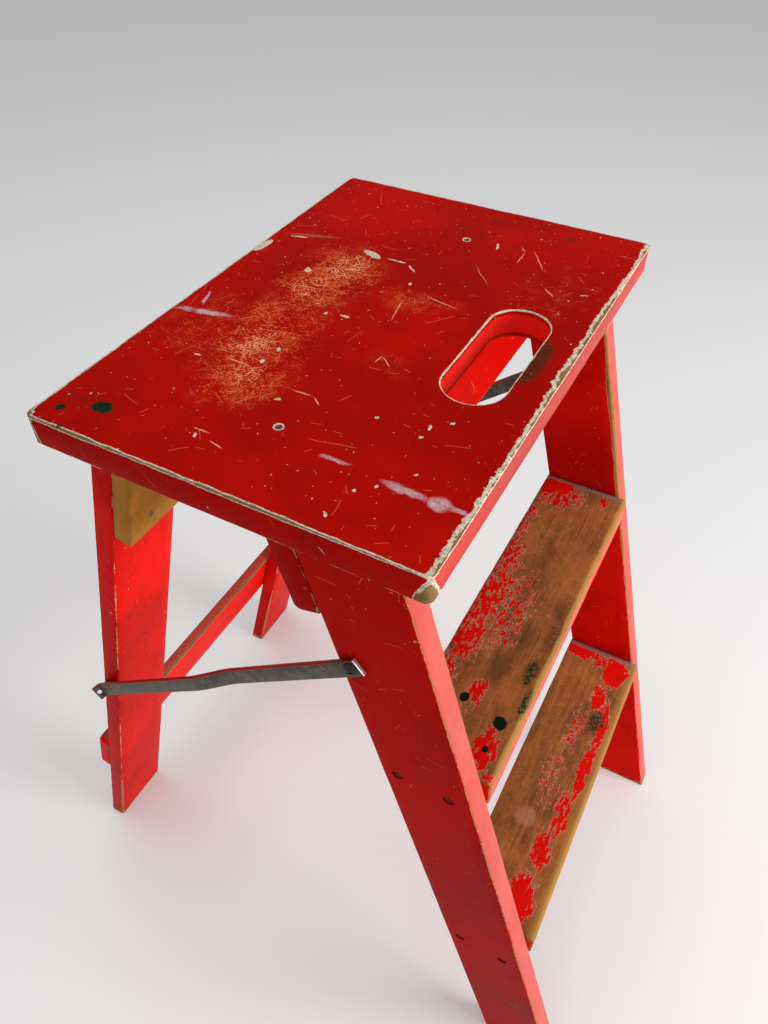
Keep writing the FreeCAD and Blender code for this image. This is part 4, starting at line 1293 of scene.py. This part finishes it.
def domedProfile(look):
    # a domed head that stands on height 0, over a plain shank
    head, shank, dome = look["head"] / 2, look["shank"] / 2, look["dome"]
    ball = (head * head + dome * dome) / (2 * dome)
    arc = math.asin(head / ball)
    angles = [arc * part for part in (0.86, 0.7, 0.52, 0.34, 0.17)]
    rounds = [(ball * math.sin(angle), ball * (math.cos(angle) - 1) + dome) for angle in angles]
    return [(shank * 0.7, -look["long"]), (shank, 0.0005 - look["long"]), (shank, 0), (head - 0.0001, 0)] + rounds


def fitFasteners(node, model, places, sink, material):
    # a copy of the model at each (point, way out), all in one piece, with their slots turned every way
    name, copies = pieceName(node), []
    for index, (point, out) in enumerate(places):
        out = Vector(out).normalized()
        fitted = bpy.data.objects.new(f"{name}{index}", model.data.copy())
        bpy.context.scene.collection.objects.link(fitted)
        turn = out.to_track_quat("Z", "Y").to_matrix().to_4x4() @ Matrix.Rotation(index * 2.4 + 0.5, 4, "Z")
        fitted.matrix_world = Matrix.Translation(Vector(point) - out * sink) @ turn
        copies.append(fitted)
    bpy.data.objects.remove(model)
    deselectAll()
    for fitted in copies:
        fitted.select_set(True)
    bpy.context.view_layer.objects.active = copies[0]
    bpy.ops.object.transform_apply(location=True, rotation=True, scale=True)
    bpy.ops.object.join()
    piece = bpy.context.object
    piece.name = name
    dress(piece, node, material)


bothSides = (-1, 1)
forwardDown = (math.cos(rake), 0, -math.sin(rake))
backUp = (-math.cos(rake), 0, math.sin(rake))
backDown = (-math.cos(rake), 0, -math.sin(rake))
railScrews = ((0.152, 0.15823), (0.176, 0.13191))    # Z and Y of the low rail's screws


def hingePairs(x, y, apart, z, out):
    # the two screws of one leaf of each of the two hinges
    return [((x, side * (y + end * apart), z), out) for side in bothSides for end in bothSides]


boardScrew = {"head": 0.008, "shank": 0.0042, "slot": (0.0011, 0.0009), "grey": "dark"}
hingeScrew = {"head": 0.0064, "shank": 0.0032, "long": 0.0138, "slot": (0.0009, 0.0008), "sink": 0.0001,
              "rust": 0.35, "grey": "grey"}

# each kind: its sizes, how far it is sunk, and the point and way out of every head
fasteners = {
    "tread_screws": dict(boardScrew, long=0.0485, sink=0.0015, rust=0.9, places=[
        (point, (0, side, 0)) for side in bothSides for point in screwPoints(side)]),
    "front_rail_screws": dict(boardScrew, long=0.0445, sink=0.0004, rust=0.6, places=[
        ((rearLine(z) - topRail["thick"] / math.cos(rake), side * stringerSide, z), backDown)
        for side in bothSides for z in (0.598, 0.62)]),
    "rear_rail_nails": {"head": 0.005, "shank": 0.0026, "long": 0.0275, "slot": None, "sink": 0.0004, "rust": 0.5,
                        "grey": "dark", "places": [
        ((legFront(z) + rearTopRail["size"][0] / math.cos(rake), y, z), forwardDown) for y, z in rearTopRail["nails"]]},
    "low_rail_screws": {"head": 0.0075, "shank": 0.004, "long": 0.0255, "slot": (0.001, 0.0009), "sink": 0.0004,
                        "rust": 0.6, "grey": "dark", "places": [
        ((legFront(z) - (leg["size"][0] + rearLowRail["size"][0]) / math.cos(rake), side * y, z), backUp)
        for side in bothSides for z, y in railScrews]},
    "front_hinge_rail_screws": dict(hingeScrew, places=hingePairs(0.01932, 0.126, 0.0216, 0.62284, backDown)),
    "front_hinge_seat_screws": dict(hingeScrew, places=hingePairs(-0.00054, 0.126, 0.0216, 0.638, (0, 0, -1))),
    "rear_hinge_leg_screws": dict(hingeScrew, places=hingePairs(-0.10955, 0.137, 0.018, 0.62165, backUp)),
    "rear_hinge_seat_screws": dict(hingeScrew, places=hingePairs(-0.12203, 0.137, 0.018, 0.638, (0, 0, -1))),
}


def makeSunkFasteners():
    for index, (node, look) in enumerate(fasteners.items()):
        name = pieceName(node)
        model = turned(name + "Model", sunkProfile(look))
        if look["slot"]:
            cutSlot(model, look["head"], *look["slot"], 0)
        material = oldSteel(name + "Steel", 30 + index * 1.7, look["rust"], look["grey"])
        fitFasteners(node, model, look["places"], look["sink"], material)


makeSunkFasteners()

# how much the edges of the other metal pieces are softened
softened = {"leaf": 0.00025, "pin": 0.00035, "collars": 0.0003, "bolts": 0.0002}

stay = {
    "front": (0.0742, 0.54),           # X and Z of the pivot
    "rear": (-0.1778, 0.337),
    "inner": 0.1732,                   # Y of the strip's inner face at the front
    "wide": 0.013,
    "thick": 0.003,
    "step": 0.005,                     # how far it is set out to clear the rear leg
    "stepStart": 0.38,
    "stepEnd": 0.55,
    "bend": 0.0047,                    # past the rear rivet
    "tab": 0.0078,
    "tabTurn": 65,
    "tabRound": 0.0028,
    "arris": 0.00035,
    "scored": 0.0022,                  # cut across this often, so that it can bend
    "rivetHole": 0.0044,
    "pivotHole": 0.0051,
    "pivotSide": 0.1765,               # Y of the strip's outer face at the pivot
    "pivot": {"head": 0.0108, "shank": 0.005, "dome": 0.0031, "long": 0.0208, "slot": (0.0012, 0.0011)},
    "rivet": {"head": 0.0074, "shank": 0.0043, "dome": 0.00135, "long": 0.0029},
}


def stayPath(s):
    # the middle of the strip and its way on at a distance along it: (along, outwards) and an angle
    length = math.hypot(stay["front"][0] - stay["rear"][0], stay["front"][1] - stay["rear"][1])
    start, end = length * stay["stepStart"], length * stay["stepEnd"]
    part = min(1.0, max(0.0, (s - start) / (end - start)))
    out = stay["step"] * part * part * (3 - 2 * part) + stay["thick"] / 2
    lean = math.atan(stay["step"] * 6 * part * (1 - part) / (end - start))
    past = s - (length + stay["bend"])
    if past <= 0:
        return s, out, lean
    # round the bend, then straight on in the tab
    turn, radius = math.radians(stay["tabTurn"]), stay["tabRound"]
    angle = min(turn, past / radius)
    beyond = max(0.0, past - turn * radius)
    along = length + stay["bend"] + radius * math.sin(angle) + beyond * math.cos(turn)
    return along, out + radius * (1 - math.cos(angle)) + beyond * math.sin(turn), angle


def makeStay(node, side):
    name = pieceName(node)
    front, rear = Vector((stay["front"][0], 0, stay["front"][1])), Vector((stay["rear"][0], 0, stay["rear"][1]))
    way = (rear - front).normalized()
    edge = Vector((way.z, 0, -way.x))
    length = (rear - front).length
    low, high = -stay["wide"] / 2, length + stay["bend"] + stay["tab"]
    piece = sawBlank(name, (high - low, stay["wide"], stay["thick"]))
    roundArrises(piece, stay["arris"], 2)
    score(piece, 0, stay["scored"])
    # the three holes are drilled before the strip is bent
    start = (low + high) / 2
    tabMiddle = high - stay["tab"] / 2 + 0.0008
    for s, width in ((length, stay["rivetHole"]), (tabMiddle, stay["rivetHole"]), (0, stay["pivotHole"])):
        cutAway(piece, sawDowel(width, 0.02, (s - start, 0, 0)))
    for vertex in piece.data.vertices:
        along, out, lean = stayPath(vertex.co.x + start)
        along -= vertex.co.z * math.sin(lean)
        out += vertex.co.z * math.cos(lean)
        point = front + way * along + edge * vertex.co.y
        vertex.co = (point.x, side * (stay["inner"] + out), point.z)
    useOnly(piece)
    bpy.ops.object.mode_set(mode="EDIT")
    bpy.ops.mesh.select_all(action="SELECT")
    bpy.ops.mesh.normals_make_consistent(inside=False)
    bpy.ops.object.mode_set(mode="OBJECT")
    middle = (front + rear) / 2
    board = {"centre": (middle.x, 0, middle.z), "turn": (0, math.atan2(way.z, -way.x), 0)}
    frontEnd = length / 2 + stay["wide"] / 2

    def pieceMarks(local, colour, roughness):
        # red paint left along the upper edge, grime towards the pivot, and a freshly cut front end
        parts = split(local)
        rough = noise(local, 240.0, 3, 0.7)
        edgeAt = stay["wide"] / 2
        upper = span(plus(parts[2], swing(rough, 0.002)), edgeAt - 0.001, edgeAt - 0.0005)
        colour = tinted(colour, steelColours["redPaint"], upper, 0.85)
        dirty = span(plus(parts[0], swing(rough, 0.012)), frontEnd - 0.03, frontEnd - 0.01)
        colour = tinted(colour, steelColours["dark"], dirty, 0.7)
        cut = span(parts[0], frontEnd - 0.0006, frontEnd - 0.0002)
        colour = tinted(colour, steelColours["bright"], cut)
        return colour, blendValue(cut, roughness, 0.3)

    dress(piece, node, oldSteel(name + "Steel", 51 + side, 0.15, "grey", board, pieceMarks))


makeStay("right_stay", -1)
makeStay("left_stay", 1)


def makeStayFasteners():
    look = stay["pivot"]
    model = turned("pivotModel", domedProfile(look))
    cutSlot(model, look["head"], look["slot"][0], look["slot"][1], look["dome"])
    places = [((stay["front"][0], side * stay["pivotSide"], stay["front"][1]), (0, side, 0)) for side in bothSides]
    fitFasteners("stay_pivot_screws", model, places, 0, oldSteel("pivotSteel", 61, 0.3, "dark"))
    for side, name in ((-1, "right"), (1, "left")):
        model = turned("rivetModel", domedProfile(stay["rivet"]))
        point = (stay["rear"][0], side * (stay["inner"] + stay["step"] + stay["thick"]), stay["rear"][1])
        steel = oldSteel(name + "RivetSteel", 64 + side, 0.4)
        fitFasteners(name + "_stay_rivet", model, [(point, (0, side, 0))], 0, steel)
    collars = copyNode("stay_collars", softened["collars"])
    dress(collars, "stay_collars", oldSteel("collarSteel", 67, 0.5, "dark"))


makeStayFasteners()


def makeSeatBolts():
    # bolts let into the seat, each with a nut under the leaf of the hinge
    bolts = copyNode("seat_hinge_bolts", softened["bolts"])
    for vertex in bolts.data.vertices:
        if vertex.co.z > seat["centre"][2]:
            vertex.co.z -= seat["boltsLetIn"]
    dress(bolts, "seat_hinge_bolts", oldSteel("boltSteel", 69, 1.0, "dark"))


makeSeatBolts()


def makeHinges():
    for side in ("right", "left"):
        for hinge, fixed, seed in (("front", "rail", 71.0), ("rear", "leg", 75.0)):
            for part in (fixed + "_leaf", "seat_leaf", "pin"):
                node = f"{side}_{hinge}_hinge_{part}"
                seed += 1.3
                piece = copyNode(node, softened[part.split("_")[-1]])
                dress(piece, node, oldSteel(piece.name + "Steel", seed, 0.45))


makeHinges()


# Room, light and camera

studio = {
    "floor": (0.74, 0.74, 0.73, 1),
    "floorRadius": 9,
    "floorGlow": 0.18,                 # as the camera, gloss and glass see it
    "sky": (0.97, 0.98, 1.0, 1),
    "skyPower": 0.35,
    "middle": (0, 0, 0.35),            # what the lamps face
    "lamps": {                         # place, size and power
        "window": ((2.4, 0.2, 0.95), 1.4, 60),
        "fill": ((-0.6, -2.4, 1.6), 2.0, 8),
        "overhead": ((-0.5, 0.2, 2.8), 1.6, 16),
    },
    "lens": 28.233,
    "sensor": 36,
    "eye": (0.22069, -0.4035, 0.93992),
    "right": (0.878995, 0.476826, -0.002158),
    "up": (-0.335377, 0.621447, 0.708044),
    "back": (0.338955, -0.621644, 0.706165),
}


def makeRoom():
    deselectAll()
    bpy.ops.mesh.primitive_circle_add(vertices=96, radius=studio["floorRadius"], fill_type="NGON", location=(0, 0, 0))
    floor = bpy.context.object
    floor.name = "floor"
    material = bpy.data.materials.new("paleFloor")
    material.use_nodes = True
    tree = material.node_tree
    surface = tree.nodes["Principled BSDF"].inputs
    surface["Base Color"].default_value = studio["floor"]
    surface["Roughness"].default_value = 0.7
    surface["Emission Color"].default_value = (1, 1, 1, 1)
    ray = addNode("ShaderNodeLightPath", tree=tree).outputs
    seen = larger(ray["Is Camera Ray"], larger(ray["Is Glossy Ray"], ray["Is Transmission Ray"]))
    tree.links.new(times(seen, studio["floorGlow"]), surface["Emission Strength"])
    floor.data.materials.append(material)
    world = bpy.data.worlds.new("studio")
    bpy.context.scene.world = world
    world.use_nodes = True
    background = world.node_tree.nodes["Background"].inputs
    background["Color"].default_value = studio["sky"]
    background["Strength"].default_value = studio["skyPower"]


def addLamp(name, place, size, power):
    lamp = bpy.data.lights.new(name, "AREA")
    lamp.shape, lamp.size, lamp.energy = "DISK", size, power
    holder = bpy.data.objects.new(name, lamp)
    bpy.context.scene.collection.objects.link(holder)
    holder.location = place
    holder.rotation_euler = (Vector(studio["middle"]) - Vector(place)).to_track_quat("-Z", "Y").to_euler()


def makeCamera():
    camera = bpy.data.cameras.new("camera")
    camera.sensor_fit, camera.sensor_height, camera.sensor_width = "VERTICAL", studio["sensor"], studio["sensor"]
    camera.lens, camera.clip_start = studio["lens"], 0.01
    holder = bpy.data.objects.new("camera", camera)
    bpy.context.scene.collection.objects.link(holder)
    turn = Matrix([studio[way] for way in ("right", "up", "back")]).transposed().to_4x4()
    holder.matrix_world = Matrix.Translation(studio["eye"]) @ turn
    bpy.context.scene.camera = holder


makeRoom()
for name, (place, size, power) in studio["lamps"].items():
    addLamp(name, place, size, power)
makeCamera()
bpy.context.scene.view_settings.view_transform = "Standard"
print("room, light and camera made")
